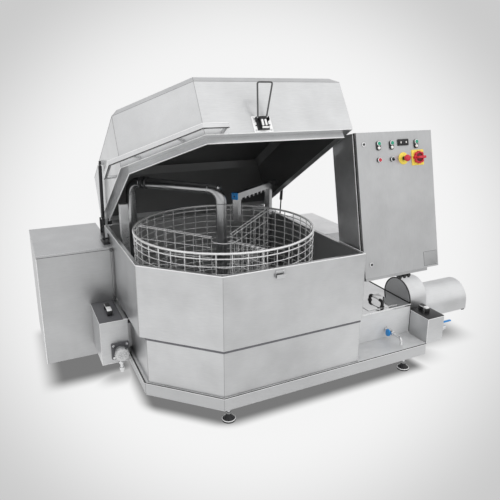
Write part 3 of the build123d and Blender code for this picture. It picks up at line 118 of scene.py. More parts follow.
def pick(kind, test):
    """Selects the verts or edges that pass a test, in edit mode."""
    bpy.ops.mesh.select_all(action="DESELECT")
    bpy.ops.mesh.select_mode(type={"verts": "VERT", "edges": "EDGE"}[kind])
    mesh = bmesh.from_edit_mesh(bpy.context.object.data)
    for item in getattr(mesh, kind):
        if test(item):
            item.select_set(True)
    bmesh.update_edit_mesh(bpy.context.object.data)


def end_edit():
    """Faces turned outwards, back to object mode."""
    bpy.ops.mesh.select_mode(type="VERT")
    bpy.ops.mesh.select_all(action="SELECT")
    bpy.ops.mesh.remove_doubles(threshold=1e-6)
    bpy.ops.mesh.normals_make_consistent(inside=False)
    bpy.ops.object.mode_set(mode="OBJECT")
    return bpy.context.object


def rough_box(low, high):
    """Edit mode on a sharp box between two corners."""
    low, high = Vector(low), Vector(high)
    alone()
    bpy.ops.mesh.primitive_cube_add(size=1.0, location=(low + high) / 2)
    bpy.context.object.scale = high - low
    begin_edit()


def block(low, high, ease=0.001, steps=2):
    """Bar or plate between two corners with eased edges."""
    rough_box(low, high)
    bpy.ops.mesh.bevel(offset=ease, segments=steps, affect="EDGES")
    return end_edit()


def tablet(low, high, corner, ease=0.0008, steps=6):
    """Plate whose upright corners are rounded and whose top edge is eased."""
    rough_box(low, high)
    pick("edges", lambda edge: abs(edge.verts[0].co.z - edge.verts[1].co.z) > 1e-6)
    bpy.ops.mesh.bevel(offset=corner, segments=steps, affect="EDGES")
    pick("edges", lambda edge: all(abs(vert.co.z - high[2]) < 1e-6 for vert in edge.verts))
    bpy.ops.mesh.bevel(offset=ease, segments=2, affect="EDGES")
    return end_edit()


def turned(stations, sides=32):
    """Turned solid about Z: a disc extruded and scaled through stations of radius and height, in mm."""
    alone()
    radius, height = (value * mm for value in stations[0])
    bpy.ops.mesh.primitive_circle_add(vertices=sides, radius=radius, fill_type="NGON",
                                      location=(0, 0, height))
    begin_edit()
    for station in stations[1:]:
        next_radius, next_height = (value * mm for value in station)
        bpy.ops.mesh.extrude_region_move(TRANSFORM_OT_translate={"value": (0, 0, next_height - height)})
        growth = next_radius / radius
        bpy.ops.transform.resize(value=(growth, growth, 1), center_override=(0, 0, next_height))
        radius, height = next_radius, next_height
    return end_edit()


def hoop(radius, wire, level=0.0, steps=96, sides=8):
    """Closed round ring of wire about Z, spun from a small circle."""
    alone()
    bpy.ops.mesh.primitive_circle_add(vertices=sides, radius=wire, location=(radius, 0, level),
                                      rotation=(math.pi / 2, 0, 0))
    begin_edit()
    bpy.ops.mesh.spin(steps=steps, angle=2 * math.pi, center=(0, 0, level), axis=(0, 0, 1))
    return end_edit()


def wire(points, radius, bend=0.0, fineness=3, steps=6):
    """Round wire or pipe along points, its inner corners bent."""
    points = [Vector(point) for point in points]
    alone()
    bpy.ops.mesh.primitive_plane_add(size=0.01, location=points[0])
    begin_edit()
    bpy.ops.mesh.merge(type="CENTER")
    for near, far in zip(points, points[1:]):
        bpy.ops.mesh.extrude_vertices_move(TRANSFORM_OT_translate={"value": far - near})
    if bend:
        pick("verts", lambda vert: len(vert.link_edges) == 2)
        bpy.ops.mesh.bevel(offset=bend, segments=steps, affect="VERTICES", profile=0.5)
    bpy.ops.object.mode_set(mode="OBJECT")
    bpy.ops.object.convert(target="CURVE")
    route = bpy.context.object.data
    route.bevel_depth = radius
    route.bevel_resolution = fineness
    route.use_fill_caps = True
    bpy.ops.object.convert(target="MESH")
    bpy.ops.object.mode_set(mode="EDIT")
    return end_edit()


def line(points, radius, fineness=1):
    """Thin bead with sharp corners."""
    return wire(points, radius, 0, fineness)


def bar(start, end, radius, sides=8):
    """Straight round bar with eased ends between two points."""
    way = Vector(end) - Vector(start)
    ease = radius * 0.35
    stations = ((radius - ease, 0), (radius, ease), (radius, way.length - ease), (radius - ease, way.length))
    return put(turned([(wide / mm, high / mm) for wide, high in stations], sides), facing(start, way))


def hexagon(radius, height, start=0.0):
    """Hexagon nut or bolt head with eased rims, in mm."""
    shape = ((0.9, 0), (1, 0.12), (1, 0.88), (0.88, 1))
    return turned([(radius * wide, start + height * high) for wide, high in shape], 6)


def screw(radius, height):
    """Domed screw head with a dimple for its driver, in mm."""
    shape = ((1, 0), (1, 0.35), (0.85, 0.75), (0.5, 1), (0.45, 0.7), (0.1, 0.6))
    return turned([(radius * wide, height * high) for wide, high in shape], 18)


def put(piece, matrix):
    """Moves a piece's mesh by a matrix, so its object stays at the origin."""
    piece.data.transform(matrix)
    return piece


def copies(piece, matrices):
    """The piece's copies, each with its own mesh, at these places."""
    made = []
    for matrix in matrices:
        twin = piece.copy()
        twin.data = piece.data.copy()
        bpy.context.collection.objects.link(twin)
        made.append(put(twin, matrix))
    bpy.data.objects.remove(piece)
    return made


def joined(*pieces):
    """Several pieces made one."""
    alone(*pieces)
    if len(pieces) > 1:
        bpy.ops.object.join()
    return bpy.context.object


def painted(piece, finish):
    """Gives a piece one finish."""
    piece.data.materials.clear()
    piece.data.materials.append(finish)
    return piece


def clad(finish, *pieces):
    """Several pieces made one, all in one named finish."""
    return painted(joined(*pieces), finishes[finish])


def fit(piece, name, body, slot, *nodes):
    """Names a finished piece, smooths it, hands it to its body and lets it stand for its solids."""
    alone(piece)
    bpy.ops.object.shade_smooth_by_angle(angle=smooth_angle)
    piece.name = name
    piece.data.name = name
    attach(piece, body)
    if nodes:
        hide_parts(*nodes)
    return piece


# Finishes: sockets that work in sums, and one method that adds every node

class Shade:
    """A node's output that can be used in Python sums; each sum adds its Math node."""

    def __init__(self, tree, socket):
        self.tree = tree
        self.socket = socket

    def sum(self, operation, first, second):
        return self.tree.add("ShaderNodeMath", {"operation": operation}, {0: first, 1: second})

    def __add__(self, other):
        return self.sum("ADD", self, other)

    def __radd__(self, other):
        return self.sum("ADD", other, self)

    def __sub__(self, other):
        return self.sum("SUBTRACT", self, other)

    def __rsub__(self, other):
        return self.sum("SUBTRACT", other, self)

    def __mul__(self, other):
        return self.sum("MULTIPLY", self, other)

    def __rmul__(self, other):
        return self.sum("MULTIPLY", other, self)

    def over(self, level):
        return self.sum("GREATER_THAN", self, level)

    def most(self, other):
        return self.sum("MAXIMUM", self, other)

    def size(self):
        return self.sum("ABSOLUTE", self, 0.0)

    def within(self):
        return self.tree.add("ShaderNodeClamp", None, {"Value": self})


class ShadeTree:
    """The nodes of one finish or of the world."""

    def __init__(self, owner):
        owner.use_nodes = True
        self.nodes = owner.node_tree.nodes
        self.links = owner.node_tree.links
        self.nodes.clear()

    def add(self, kind, settings=None, sockets=None, output=0):
        node = self.nodes.new(kind)
        for key, value in (settings or {}).items():
            setattr(node, key, value)
        for key, value in (sockets or {}).items():
            if isinstance(value, Shade):
                self.links.new(value.socket, node.inputs[key])
            elif isinstance(value, tuple) and node.inputs[key].type == "RGBA":
                node.inputs[key].default_value = (*value, 1)
            else:
                node.inputs[key].default_value = value
        if len(node.outputs) == 0:
            return None
        return Shade(self, node.outputs[output])

    def coordinate(self, kind="Object"):
        return self.add("ShaderNodeTexCoord", output=kind)

    def axis(self, place, name):
        return self.add("ShaderNodeSeparateXYZ", None, {"Vector": place}, name)

    def noise(self, place, scale, detail=2.0):
        return self.add("ShaderNodeTexNoise", None, {"Vector": place, "Scale": scale, "Detail": detail})

    def mixed(self, factor, first, second):
        return self.add("ShaderNodeMix", {"data_type": "RGBA"}, {0: factor, 6: first, 7: second}, 2)

    def vector(self, operation, first, second=(0.0, 0.0, 0.0), output="Vector"):
        return self.add("ShaderNodeVectorMath", {"operation": operation}, {0: first, 1: second}, output)

    def dot(self, first, second):
        return self.vector("DOT_PRODUCT", first, second, "Value")

    def between(self, value, low, high):
        return self.add("ShaderNodeMapRange", {"interpolation_type": "SMOOTHSTEP"},
                        {"Value": value, "From Min": low, "From Max": high})

    def edges(self, radius):
        """Normal rounded over the edges, and how far it departs from the plain one."""
        rounded = self.add("ShaderNodeBevel", {"samples": 4}, {"Radius": radius})
        plain = self.add("ShaderNodeNewGeometry", output="Normal")
        return rounded, 1 - self.dot(rounded, plain)

    def bump(self, strength, distance, height, **normal):
        return self.add("ShaderNodeBump", None,
                        {"Strength": strength, "Distance": distance, "Height": height, **normal})

    def surface(self, sockets):
        shader = self.add("ShaderNodeBsdfPrincipled", None, sockets)
        self.add("ShaderNodeOutputMaterial", None, {"Surface": shader})


def tinted(colour, factor):
    """A colour made lighter or darker."""
    return tuple(min(1.0, part * factor) for part in colour)


def new_finish(name):
    """An empty finish, its tree and its coordinates."""
    finish = bpy.data.materials.new(name)
    tree = ShadeTree(finish)
    return finish, tree, tree.coordinate()


def brushed(name, colour, rough, grain=(3, 3, 90), metal=0.92, fold=0.003, inside=None, depth=0.10,
            buckle=0.3, corner_shade=0.45, reach=0.09, shade_below=None):
    """Brushed sheet steel: streaked grain, cloudy tone, gentle buckling, painted shade in corners, painted
    highlights on the folds. With a centre point given, the faces that look towards it get painted shade by
    the given depth, and below a given height the sheet gets painted shade."""
    finish, tree, here = new_finish(name)
    streaks = tree.noise(tree.add("ShaderNodeMapping", None, {"Vector": here, "Scale": grain}), 6.0, 3.0)
    clouds = tree.noise(here, 1.6, 3.0)
    blotches = tree.noise(here, 7.0, 4.0)
    swell = tree.noise(here, 1.1, 1.0)
    rounded, turn = tree.edges(fold)
    fold_highlight = (turn * 3).within()
    tone = ((clouds * 0.3 + blotches * 0.4 + streaks * 0.3 - 0.5) * 1.6 + 0.5).within()
    shade = tree.mixed(tone, tinted(colour, 0.76), tinted(colour, 1.20))
    # Painted shade: where occlusion finds other surfaces within reach, in corners and under nearby parts,
    # the sheet is darkened
    corner = tree.add("ShaderNodeAmbientOcclusion", {"samples": 6}, {"Distance": reach}, "AO")
    shade = tree.mixed((1 - corner) * corner_shade, shade, tinted(colour, 0.25))
    # Painted shade: below the given height the sheet is darkened
    if shade_below:
        lower_shade = tree.between(tree.axis(here, "Z"), shade_below, shade_below - 0.006)
        shade = tree.mixed(lower_shade * 0.62, shade, tinted(colour, 0.62))
    # Painted highlight: the sheet is lightened along its folds, where the rounded normal turns away
    shade = tree.mixed(fold_highlight * 0.75, shade, tinted(colour, 1.5))
    gloss = rough + (streaks - 0.5) * 0.14 + (blotches - 0.5) * 0.12 - fold_highlight * 0.08
    if inside:
        # Painted shade: faces that look towards the centre point are darkened, as shade inside the tub or
        # the hood
        inner_shade = tree.dot(tree.coordinate("Normal"), tree.vector("SUBTRACT", inside, here)).over(0.0)
        shade = tree.mixed(inner_shade, shade, tinted(colour, depth))
        gloss = gloss + inner_shade * 0.1
    broad = tree.bump(buckle, 0.012, swell, Normal=rounded)
    fine = tree.bump(0.12, 0.0004, streaks, Normal=broad)
    tree.surface({"Base Color": shade, "Metallic": metal, "Roughness": gloss, "Normal": fine})
    return finish


def drawn(name, colour, rough, metal=1.0):
    """Drawn or turned metal: fine flecks and a faint tone change along it."""
    finish, tree, here = new_finish(name)
    flecks = tree.noise(here, 220.0)
    clouds = tree.noise(here, 9.0, 3.0)
    shade = tree.mixed(clouds, tinted(colour, 0.82), tinted(colour, 1.14))
    gloss = rough + (flecks - 0.5) * 0.12 + (clouds - 0.5) * 0.1
    tree.surface({"Base Color": shade, "Metallic": metal, "Roughness": gloss,
                  "Normal": tree.bump(0.1, 0.0003, flecks)})
    return finish


def moulded(name, colour, rough, coat=0.0, pores=400.0, shine=0.5):
    """Moulded plastic, rubber or paint: fine pores, a slight cloud of tone and paler worn edges."""
    finish, tree, here = new_finish(name)
    grain = tree.noise(here, pores)
    clouds = tree.noise(here, 14.0, 3.0)
    rounded, turn = tree.edges(0.0012)
    shade = tree.mixed(clouds, tinted(colour, 0.85), tinted(colour, 1.12))
    shade = tree.mixed((turn * 1.4).within(), shade, tuple(min(1.0, part * 1.2 + 0.03) for part in colour))
    gloss = rough + (grain - 0.5) * 0.12 + (clouds - 0.5) * 0.08
    tree.surface({"Base Color": shade, "Roughness": gloss, "Coat Weight": coat, "Specular IOR Level": shine,
                  "Normal": tree.bump(0.15, 0.0003, grain, Normal=rounded)})
    return finish


# Sizes and colours a user would change

def length(label, words, default):
    """A size in metres."""
    return FloatProperty(name=label, description=words, default=default, min=0.0, unit="LENGTH", precision=4)


def colour(label, words, default):
    """A colour."""
    return FloatVectorProperty(name=label, description=words, default=default, size=3, min=0.0, max=1.0,
                               subtype="COLOR")


def power(label, words, default):
    """A lamp's power in watts."""
    return FloatProperty(name=label, description=words, default=default, min=0.0, unit="POWER")


class WasherWireSizes(bpy.types.PropertyGroup):
    """Wire sizes of the basket, the bail and the handles."""
    rim: length("Rim wire", "Radius of the basket's top ring", 0.0072)
    upright: length("Upright wire", "Radius of the basket's uprights", 0.0032)
    fine: length("Fine wire", "Radius of the basket's fine hoops", 0.0023)
    bail: length("Bail wire", "Radius of the latch's bail", 0.0048)
    bow: length("Bow bar", "Radius of the hatch's bow handle", 0.007)
    uprights: IntProperty(name="Uprights", description="Upright wires round the basket", default=40, min=6)
    hoops: IntProperty(name="Hoops", description="Fine hoops below the second ring", default=9, min=2)


class WasherPipeSizes(bpy.types.PropertyGroup):
    """Sizes of the spray pipes and taps."""
    feed: length("Feed pipe", "Outer radius of the feed pipe", 0.035)
    bend: length("Feed bend", "Bend of the feed pipe's elbows", 0.080)
    union: length("Union", "Radius of the feed pipe's union flanges", 0.042)
    spout: length("Spout", "Radius of the sump tap's spout", 0.010)


class WasherColours(bpy.types.PropertyGroup):
    """Colours of the finishes."""
    steel: colour("Sheet steel", "Brushed sheet of the tub, tanks and cabinet", (0.66, 0.665, 0.67))
    hood: colour("Hood steel", "Fine brushed sheet of the hood", (0.72, 0.725, 0.73))
    wire: colour("Wire steel", "Basket wires and bright beads", (0.90, 0.90, 0.90))
    pipe: colour("Pipe steel", "Feed pipe, posts, spray bar and bail", (0.60, 0.605, 0.61))
    chrome: colour("Plated metal", "Taps, feet and screws", (0.80, 0.805, 0.81))
    iron: colour("Iron grey", "Pump, motor and drive castings", (0.20, 0.22, 0.24))
    dark: colour("Dark metal", "Struts and box lids", (0.020, 0.020, 0.0215))
    black: colour("Black plastic", "Handles' ends, bezels and selector", (0.014, 0.014, 0.015))
    rubber: colour("Rubber", "Foot pads and seals", (0.018, 0.018, 0.018))
    blue: colour("Blue plastic", "Levers and the spray bar's cap", (0.012, 0.24, 0.62))
    green: colour("Green plastic", "Push-buttons", (0.005, 0.32, 0.19))
    red: colour("Red plastic", "Stop button, red button and main switch", (0.60, 0.016, 0.040))
    yellow: colour("Yellow plastic", "Stop disc and switch plate", (0.93, 0.70, 0.09))
    lens: colour("Lens", "Pilot lenses", (0.86, 0.84, 0.82))


class WasherStudio(bpy.types.PropertyGroup):
    """Light and backdrop."""
    pale: colour("Backdrop", "Backdrop and floor as the camera sees them", (0.91, 0.91, 0.91))
    edge: colour("Backdrop edge", "Backdrop away from the machine", (0.60, 0.60, 0.60))
    bounce: colour("Bounce", "Floor as bright metal sees it", (0.89, 0.89, 0.89))
    shadow: colour("Shadow", "Floor right under the machine", (0.19, 0.19, 0.19))
    key: power("Key", "Power of the soft light at the front right", 60.0)
    fill: power("Fill", "Power of the soft light at the left", 40.0)
    top: power("Top", "Power of the soft light overhead", 55.0)
    lens: FloatProperty(name="Camera lens", description="Focal length", default=37.771, min=1.0,
                        subtype="DISTANCE_CAMERA")


finishes = {}


class WASHER_OT_finishes(bpy.types.Operator):
    """Mixes every finish and gives one to each solid of the washer"""
    bl_idname = "washer.finishes"
    bl_label = "Finish the solids"

    # Finishes of the solids that don't take their slot's plain one, and of the slots not named for theirs
    chosen = {
        "base_frame": "base", "tub_floor": "flat", "upper_tub": "tub", "lower_tub": "tub",
        "side_tank": "tank", "side_tank_cover": "flat", "sump_deck": "deck", "extraction_housing": "pale",
        "sump_tank": "sump", "side_post": "fitting", "lid_band": "band", "lid_rail": "band",
        "pump_hood": "pump", "motor_hood": "cover", "cabinet_case": "cabinet", "cabinet_door": "cabinet",
        "latch_keeper": "fitting", "tub_lugs": "dark", "lid_lugs": "fitting", "cabinet_bracket": "fitting",
        "strut_rod_left": "dark", "strut_rod_right": "dark",
    }
    by_slot = {"sheet_steel": "wall", "lid_steel": "hood", "grey_iron": "iron", "cap_metal": "chrome"}

    def execute(self, context):
        colours = context.scene.washer_colours

        def tint(name, factor=1.0):
            return tinted(getattr(colours, name), factor)

        # Centre points of the painted shade inside the tub and inside the open hood
        tub_centre = (tub_middle, basket_axis.y, 0.70)
        hood_centre = tuple(hood_frame @ Vector((tub_middle, -0.73, 0.12)))
        hood_grain, cover_grain = (3, 60, 60), (3, 90, 90)
        finishes.update({
            "wall": brushed("brushed_wall_steel", tint("steel"), 0.36),
            "tub": brushed("brushed_tub_steel", tint("steel"), 0.36, fold=0.006, inside=tub_centre,
                           depth=0.66),
            "flat": brushed("brushed_flat_steel", tint("steel"), 0.36, (90, 3, 3)),
            # Base: a slightly lighter, less metallic copy of the sheet steel, with painted shade below z
            # 0.170 that tones down the bright floor it reflects
            "base": brushed("brushed_base_steel", tint("steel", 1.06), 0.50, metal=0.3, fold=0.006,
                            corner_shade=0.05, shade_below=0.170),
            "tank": brushed("brushed_tank_steel", tint("steel", 0.79), 0.36),
            "hood": brushed("brushed_hood_steel", tint("hood"), 0.34, hood_grain, inside=hood_centre,
                            depth=0.36),
            "band": brushed("folded_band_steel", tint("hood", 1.05), 0.32, hood_grain, buckle=0.1),
            "deck": brushed("polished_deck_steel", tint("steel", 1.3), 0.10, cover_grain, metal=1.0,
                            buckle=0.05),
            "cover": brushed("rolled_cover_steel", tint("hood", 1.04), 0.38, cover_grain, buckle=0.15),
            "cabinet": brushed("cabinet_steel", tint("steel", 0.90), 0.38, (90, 4, 4), buckle=0.15),
            "fitting": brushed("fitting_steel", tint("steel"), 0.30, (40, 40, 40), fold=0.0015, buckle=0.05),
            "plate": brushed("plain_name_plate", tint("steel", 0.72), 0.42, (300, 8, 8), fold=0.0006,
                             buckle=0.0),
            # Sump: a lighter, mostly diffuse copy of the sheet steel, painted light against the shade in its
            # corner by the tub and deck
            "sump": brushed("brushed_sump_steel", tint("steel", 1.10), 0.55, metal=0.15, fold=0.006,
                            corner_shade=0.12),
            # Pump cover: stronger, wider corner shade paints the shade that the cabinet above casts on its
            # top
            "pump": brushed("pump_cover_steel", tint("hood", 1.04), 0.38, cover_grain, buckle=0.15,
                            corner_shade=0.6, reach=0.14),
            "pale": brushed("pale_housing_steel", tint("hood", 1.2), 0.45, metal=0.6),
            # Pale, half-metal finish: the bright parts' own, and also the painted highlight lines along
            # edges and folds
            "bead": drawn("bright_bead", tint("wire", 1.08), 0.3, 0.35),
            "bail": drawn("bail_wire", tint("pipe", 0.22), 0.30, 0.8),
            "socket": drawn("drain_socket", tint("pipe", 0.55), 0.34),
            "wire": drawn("bright_wire", tint("wire", 1.05), 0.22, 0.4),
            "pipe": drawn("welded_pipe", tint("pipe", 0.80), 0.24),
            "chrome": drawn("plated_metal", tint("chrome"), 0.16),
            "cap": drawn("cast_cap", tint("chrome", 0.86), 0.26),
            # Fold lines: a darker metal on the rounded folds, painting the shade along each fold
            "fold": drawn("folded_edge", tint("pipe", 0.62), 0.45, 0.6),
            "iron": moulded("painted_iron", tint("iron"), 0.5, pores=160.0),
            "dark": moulded("dark_coated_metal", tint("dark"), 0.36, shine=0.3),
            "drain_top": moulded("grey_drain_lid", tint("dark", 5.2), 0.34, coat=0.1, shine=0.4),
            "filter_top": moulded("dark_filter_lid", tint("dark", 1.2), 0.40, coat=0.1, shine=0.4),
            "black": moulded("black_moulding", tint("black"), 0.38),
            "rubber": moulded("rubber", tint("rubber"), 0.7, pores=260.0),
            "blue": moulded("blue_moulding", tint("blue"), 0.36, coat=0.15),
            "green": moulded("green_moulding", tint("green"), 0.30, coat=0.3),
            "red": moulded("red_moulding", tint("red"), 0.32, coat=0.25),
            "wine": moulded("dark_red_moulding", tint("red", 0.22), 0.4),
            "yellow": moulded("yellow_moulding", tint("yellow"), 0.38, coat=0.1),
            # Painted shadow: grey for the band of shade under the upper tub's step
            "step": moulded("grey_step", tint("dark", 8.0), 0.6, shine=0.2),
            "seam": moulded("grey_seam", tint("dark", 4.0), 0.6, shine=0.2),
            "lens": moulded("pilot_lens", tint("lens"), 0.18, coat=0.5),
        })
        for row in frame["record"]["subparts"]:
            node, slot = row["node"], row["material_slot"]
            plain = self.by_slot.get(slot, slot.split("_")[0])
            painted(frame["nodes"][node], finishes[self.chosen.get(node, plain)])
        return {"FINISHED"}


class WASHER_OT_basket(bpy.types.Operator):
    """Welds the round wire basket: rings, uprights, floor and three sloping dividers"""
    bl_idname = "washer.basket"
    bl_label = "Wire basket"

    def execute(self, context):
        sizes = context.scene.washer_wires
        low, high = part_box("basket_wall")
        core, reach = 0.085, (high.x - low.x) / 2 - 0.003
        floor, top = low.z - 0.003, high.z
        second_ring = top - 0.038
        wires = [hoop(reach, sizes.rim, top - sizes.rim), hoop(reach, sizes.rim * 0.55, second_ring)]
        pitch = (second_ring - floor) / sizes.hoops
        wires += [hoop(reach, sizes.fine, floor + row * pitch) for row in range(1, sizes.hoops)]
        inner = reach - sizes.rim * 0.6
        upright = bar((inner, 0, floor), (inner, 0, top - sizes.rim), sizes.upright)
        wires += copies(upright, around(sizes.uprights))
        wires += [hoop(core + (reach - core) * ring / 5, sizes.upright, floor, 72) for ring in range(6)]
        spoke = bar((core, 0, floor - 0.004), (reach, 0, floor - 0.004), sizes.upright)
        wires += copies(spoke, around(24, divider_turn))
        divider = self.divider(sizes, core, reach - 0.014, floor, top - 0.012)
        wires += copies(divider, around(3, divider_turn))
        wires += [hoop(core, sizes.upright, level, 48) for level in (floor + 0.17, floor + 0.335)]
        cage = put(clad("wire", *wires), Matrix.Translation(basket_axis))
        fit(cage, "basket_cage", "basket", "wire_steel", "basket_wall", "basket_floor", "basket_dividers")
        return {"FINISHED"}

    def divider(self, sizes, near, far, floor, top):
        """One divider's wires along X, falling towards the core."""
        drop, apart, overhang = 0.076, 0.015, 0.018

        def level(reach, share=1.0):
            return floor + share * (top - drop * (far - reach) / (far - near) - floor)

        made = [bar((near, side, level(near)), (far, side, level(far)), sizes.fine * 1.2)
                for side in (-apart, apart)]
        made += [bar((near, 0, level(near, share)), (far, 0, level(far, share)), sizes.fine)
                 for share in (0.2, 0.4, 0.6, 0.8)]
        for post in range(9):
            x = near + (far - near) * post / 8
            made.append(bar((x, 0, floor), (x, 0, level(x)), sizes.upright * 0.9))
            made.append(bar((x, -overhang, level(x)), (x, overhang, level(x)), sizes.fine))
        return joined(*made)


class WASHER_OT_pipes(bpy.types.Operator):
    """Bends the feed pipe with its unions and plug, and makes the spray bar's nozzles and blue cap"""
    bl_idname = "washer.pipes"
    bl_label = "Pipes and nozzles"

    def execute(self, context):
        sizes = context.scene.washer_pipes
        feed, union = sizes.feed / mm, sizes.union / mm
        foot, riser_top = Vector((-0.800, 0.350, 0.270)), Vector((-0.800, 0.350, 1.220))
        drop_top, drop_end = Vector((-0.350, -0.190, 1.220)), Vector((-0.350, -0.190, 0.640))
        way = (drop_top - riser_top).normalized()
        run = [wire([foot, riser_top, drop_top, drop_end], sizes.feed, sizes.bend, 6, 10)]
        ring = [(feed, -1), (union - 2, 0), (union, 2), (union, 14), (union - 2, 16), (feed, 17)]
        unions = copies(turned(ring, 40), [facing(riser_top + way * start, way) for start in (0.096, 0.128)])
        elbow = 0.088
        welds = [(drop_top - way * elbow, way), (drop_top - up_way * elbow, up_way),
                 (riser_top - up_way * elbow, up_way), (riser_top + way * 0.085, way)]
        weld = turned([(feed, 0), (feed + 1.8, 2), (feed + 1.8, 4), (feed, 6)], 40)
        run += copies(weld, [facing(place, along) for place, along in welds])
        plug = turned([(13, 0), (13, 16), (16, 17), (16, 29), (13, 32)], 24)
        plug_place = drop_top - way * 0.022 - up_way * 0.003
        run.append(put(plug, facing(plug_place, way * 0.35 + up_way * 0.9)))
        fit(joined(clad("pipe", *run), clad("bail", *unions)), "feed_pipe_run", "machine", "pipe_steel",
            "feed_pipe")

        bar_turn = math.radians(35)
        bar_way = Vector((math.cos(bar_turn), math.sin(bar_turn), 0))
        bar_start = Vector((-0.206, -0.086, 1.128))
        jet = turned([(8.5, 2), (8.5, -8), (6.5, -9), (6.5, -18), (4.5, -23.5), (2, -24), (2, -20)], 12)
        spots = [Matrix.Translation(bar_start + bar_way * (0.076 + 0.056 * number)) for number in range(7)]
        fit(clad("chrome", *copies(jet, spots)), "spray_jets", "machine", "pipe_steel", "spray_nozzles")
        cap = clad("blue", tablet((-0.023, -0.023, 0), (0.023, 0.023, 0.010), 0.005, 0.002),
                   block((-0.0155, -0.0155, -0.014), (0.0155, 0.0155, 0.001)))
        mark = clad("rubber", turned([(5.5, 9.8), (5.5, 10.4), (4.5, 10.8)], 20))
        cap_frame = facing(bar_start + up_way * 0.020, -bar_way, up_way)
        fit(put(joined(cap, mark), cap_frame), "spray_bar_blue_cap", "machine", "blue_plastic",
            "spray_bar_cap")
        return {"FINISHED"}


class WASHER_OT_feet(bpy.types.Operator):
    """Turns one levelling foot with rubber pad, plate, stem and nuts, and copies it to the corners"""
    bl_idname = "washer.feet"
    bl_label = "Levelling feet"

    def execute(self, context):
        plate = turned([(37.5, 9), (38.5, 10), (38.5, 13), (34, 17), (24, 26), (17, 36), (13, 43)], 40)
        ring = hoop(0.0372, 0.0030, 0.0125, 48)
        stem = turned([(7.5, 29), (8.5, 30), (8.5, 94), (7.5, 95)], 24)
        pad = turned([(36, 0), (39.5, 1.5), (39.5, 8.5), (36, 9.5)], 40)
        thread = [hoop(0.0085, 0.0008, 0.036 + 0.003 * turn, 20, 6) for turn in range(19)]
        nuts = [hexagon(14.5, 12, start) for start in (43, 82)]
        foot = joined(clad("chrome", *thread, stem), clad("socket", *nuts), clad("dark", plate),
                      clad("bead", ring), clad("rubber", pad))
        low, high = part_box("levelling_feet")
        inset = 0.040
        front, back = low.y + inset, high.y - inset
        spots = ((-0.561, front), (high.x - inset, front), (low.x + inset, back), (high.x - inset, back))
        feet = joined(*copies(foot, [moved(*spot) for spot in spots]))
        fit(feet, "levelling_foot_set", "machine", "chrome_metal", "levelling_feet")
        return {"FINISHED"}


class WASHER_OT_latch(bpy.types.Operator):
    """Bends the latch bail, builds the latch's body and sets the screws of its plate and keeper"""
    bl_idname = "washer.latch"
    bl_label = "Latch"

    def execute(self, context):
        x, lean = -0.263, math.radians(28.5) - hood_turn
        pivot = hood_frame @ Vector((x, -1.403, 0.120))
        bail_way = Vector((0, -math.sin(lean), math.cos(lean)))
        half_inner, half_foot, half_top, reach, swing = 0.012, 0.026, 0.046, 0.190, 0.020
        route = ((-half_inner, 0), (-half_foot, 0), (swing - half_top, reach), (swing + half_top, reach),
                 (half_foot, 0), (half_inner, 0))
        bail = wire([pivot + Vector((across, 0, 0)) + bail_way * along for across, along in route],
                    context.scene.washer_wires.bail, 0.012, 3, 5)
        fit(clad("bail", bail), "latch_wire_bail", "bail", "wire_steel", "latch_bail")

        heads = [facing(hood_frame @ Vector((x + side, -1.389, level)), hood_front)
                 for side in (-0.046, 0.046) for level in (0.052, 0.124)]
        fit(clad("chrome", *copies(screw(5.5, 3.5), heads)), "latch_screws", "lid", "sheet_steel")
        back, top = -0.0225, 0.039
        plate = tablet((-0.058, -0.049, -0.026), (0.058, 0.051, -0.022), 0.004)
        core = block((-0.0195, -0.035, back), (0.0195, top, 0.002), 0.0015)
        backing = block((-0.036, -0.035, back), (0.036, top, -0.0178), 0.0008)
        cheeks = [block((side - 0.0022, 0.017, back), (side + 0.0022, top, 0.001), 0.0008)
                  for side in (-0.0377, 0.0377)]
        hook = block((-0.020, -0.036, 0.001), (0.020, -0.026, 0.010), 0.003)
        pins = [bar((side * 0.035, -0.006, -0.0195), (side * 0.045, -0.006, -0.0195), 0.0032, 12)
                for side in (-1, 1)]
        rollers = [bar((side, -0.020, 0.003), (side, 0.018, 0.003), 0.0065, 16) for side in (-0.010, 0.010)]
        catch = joined(clad("dark", core, backing, *cheeks, *pins), clad("bead", plate, hook, *rollers))
        face = facing(hood_frame @ Vector((x, -1.411, 0.087)), hood_front)
        fit(put(catch, face), "latch_body", "lid", "sheet_steel", "latch_plate")
        low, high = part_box("latch_keeper")
        spots = [facing((low.x + side, high.y - 0.004, high.z - 0.009), front_way)
                 for side in (0.011, 0.047)]
        fit(clad("chrome", *copies(screw(4.5, 3), spots)), "keeper_screws", "machine", "sheet_steel")
        return {"FINISHED"}


def lid_sheets(low, high, top, thick, lip, ease):
    """A lid's plate and the narrower rim below it."""
    return (block((low.x, low.y, top - thick), (high.x, high.y, top), ease),
            block((low.x + lip, low.y + lip, low.z), (high.x - lip, high.y - lip, top - thick + 0.001)))


def bridge_handle(length, width):
    """Steel bridge bar on two black feet, along Y, standing on Z zero."""
    end, side, foot = length / 2, width / 2, 0.009
    feet = [block((-side, y - foot, 0), (side, y + foot, handle_rise - 0.010), 0.004, 3)
            for y in (foot - end, end - foot)]
    grip = block((0.002 - side, 0.004 - end, handle_rise - 0.012), (side - 0.002, end - 0.004, handle_rise),
                 0.005, 4)
    inlay = block((0.003 - side, -0.006, handle_rise - 0.002),
                  (side - 0.003, end - 0.004, handle_rise + 0.0012))
    return joined(clad("bead", grip), clad("black", inlay, *feet))


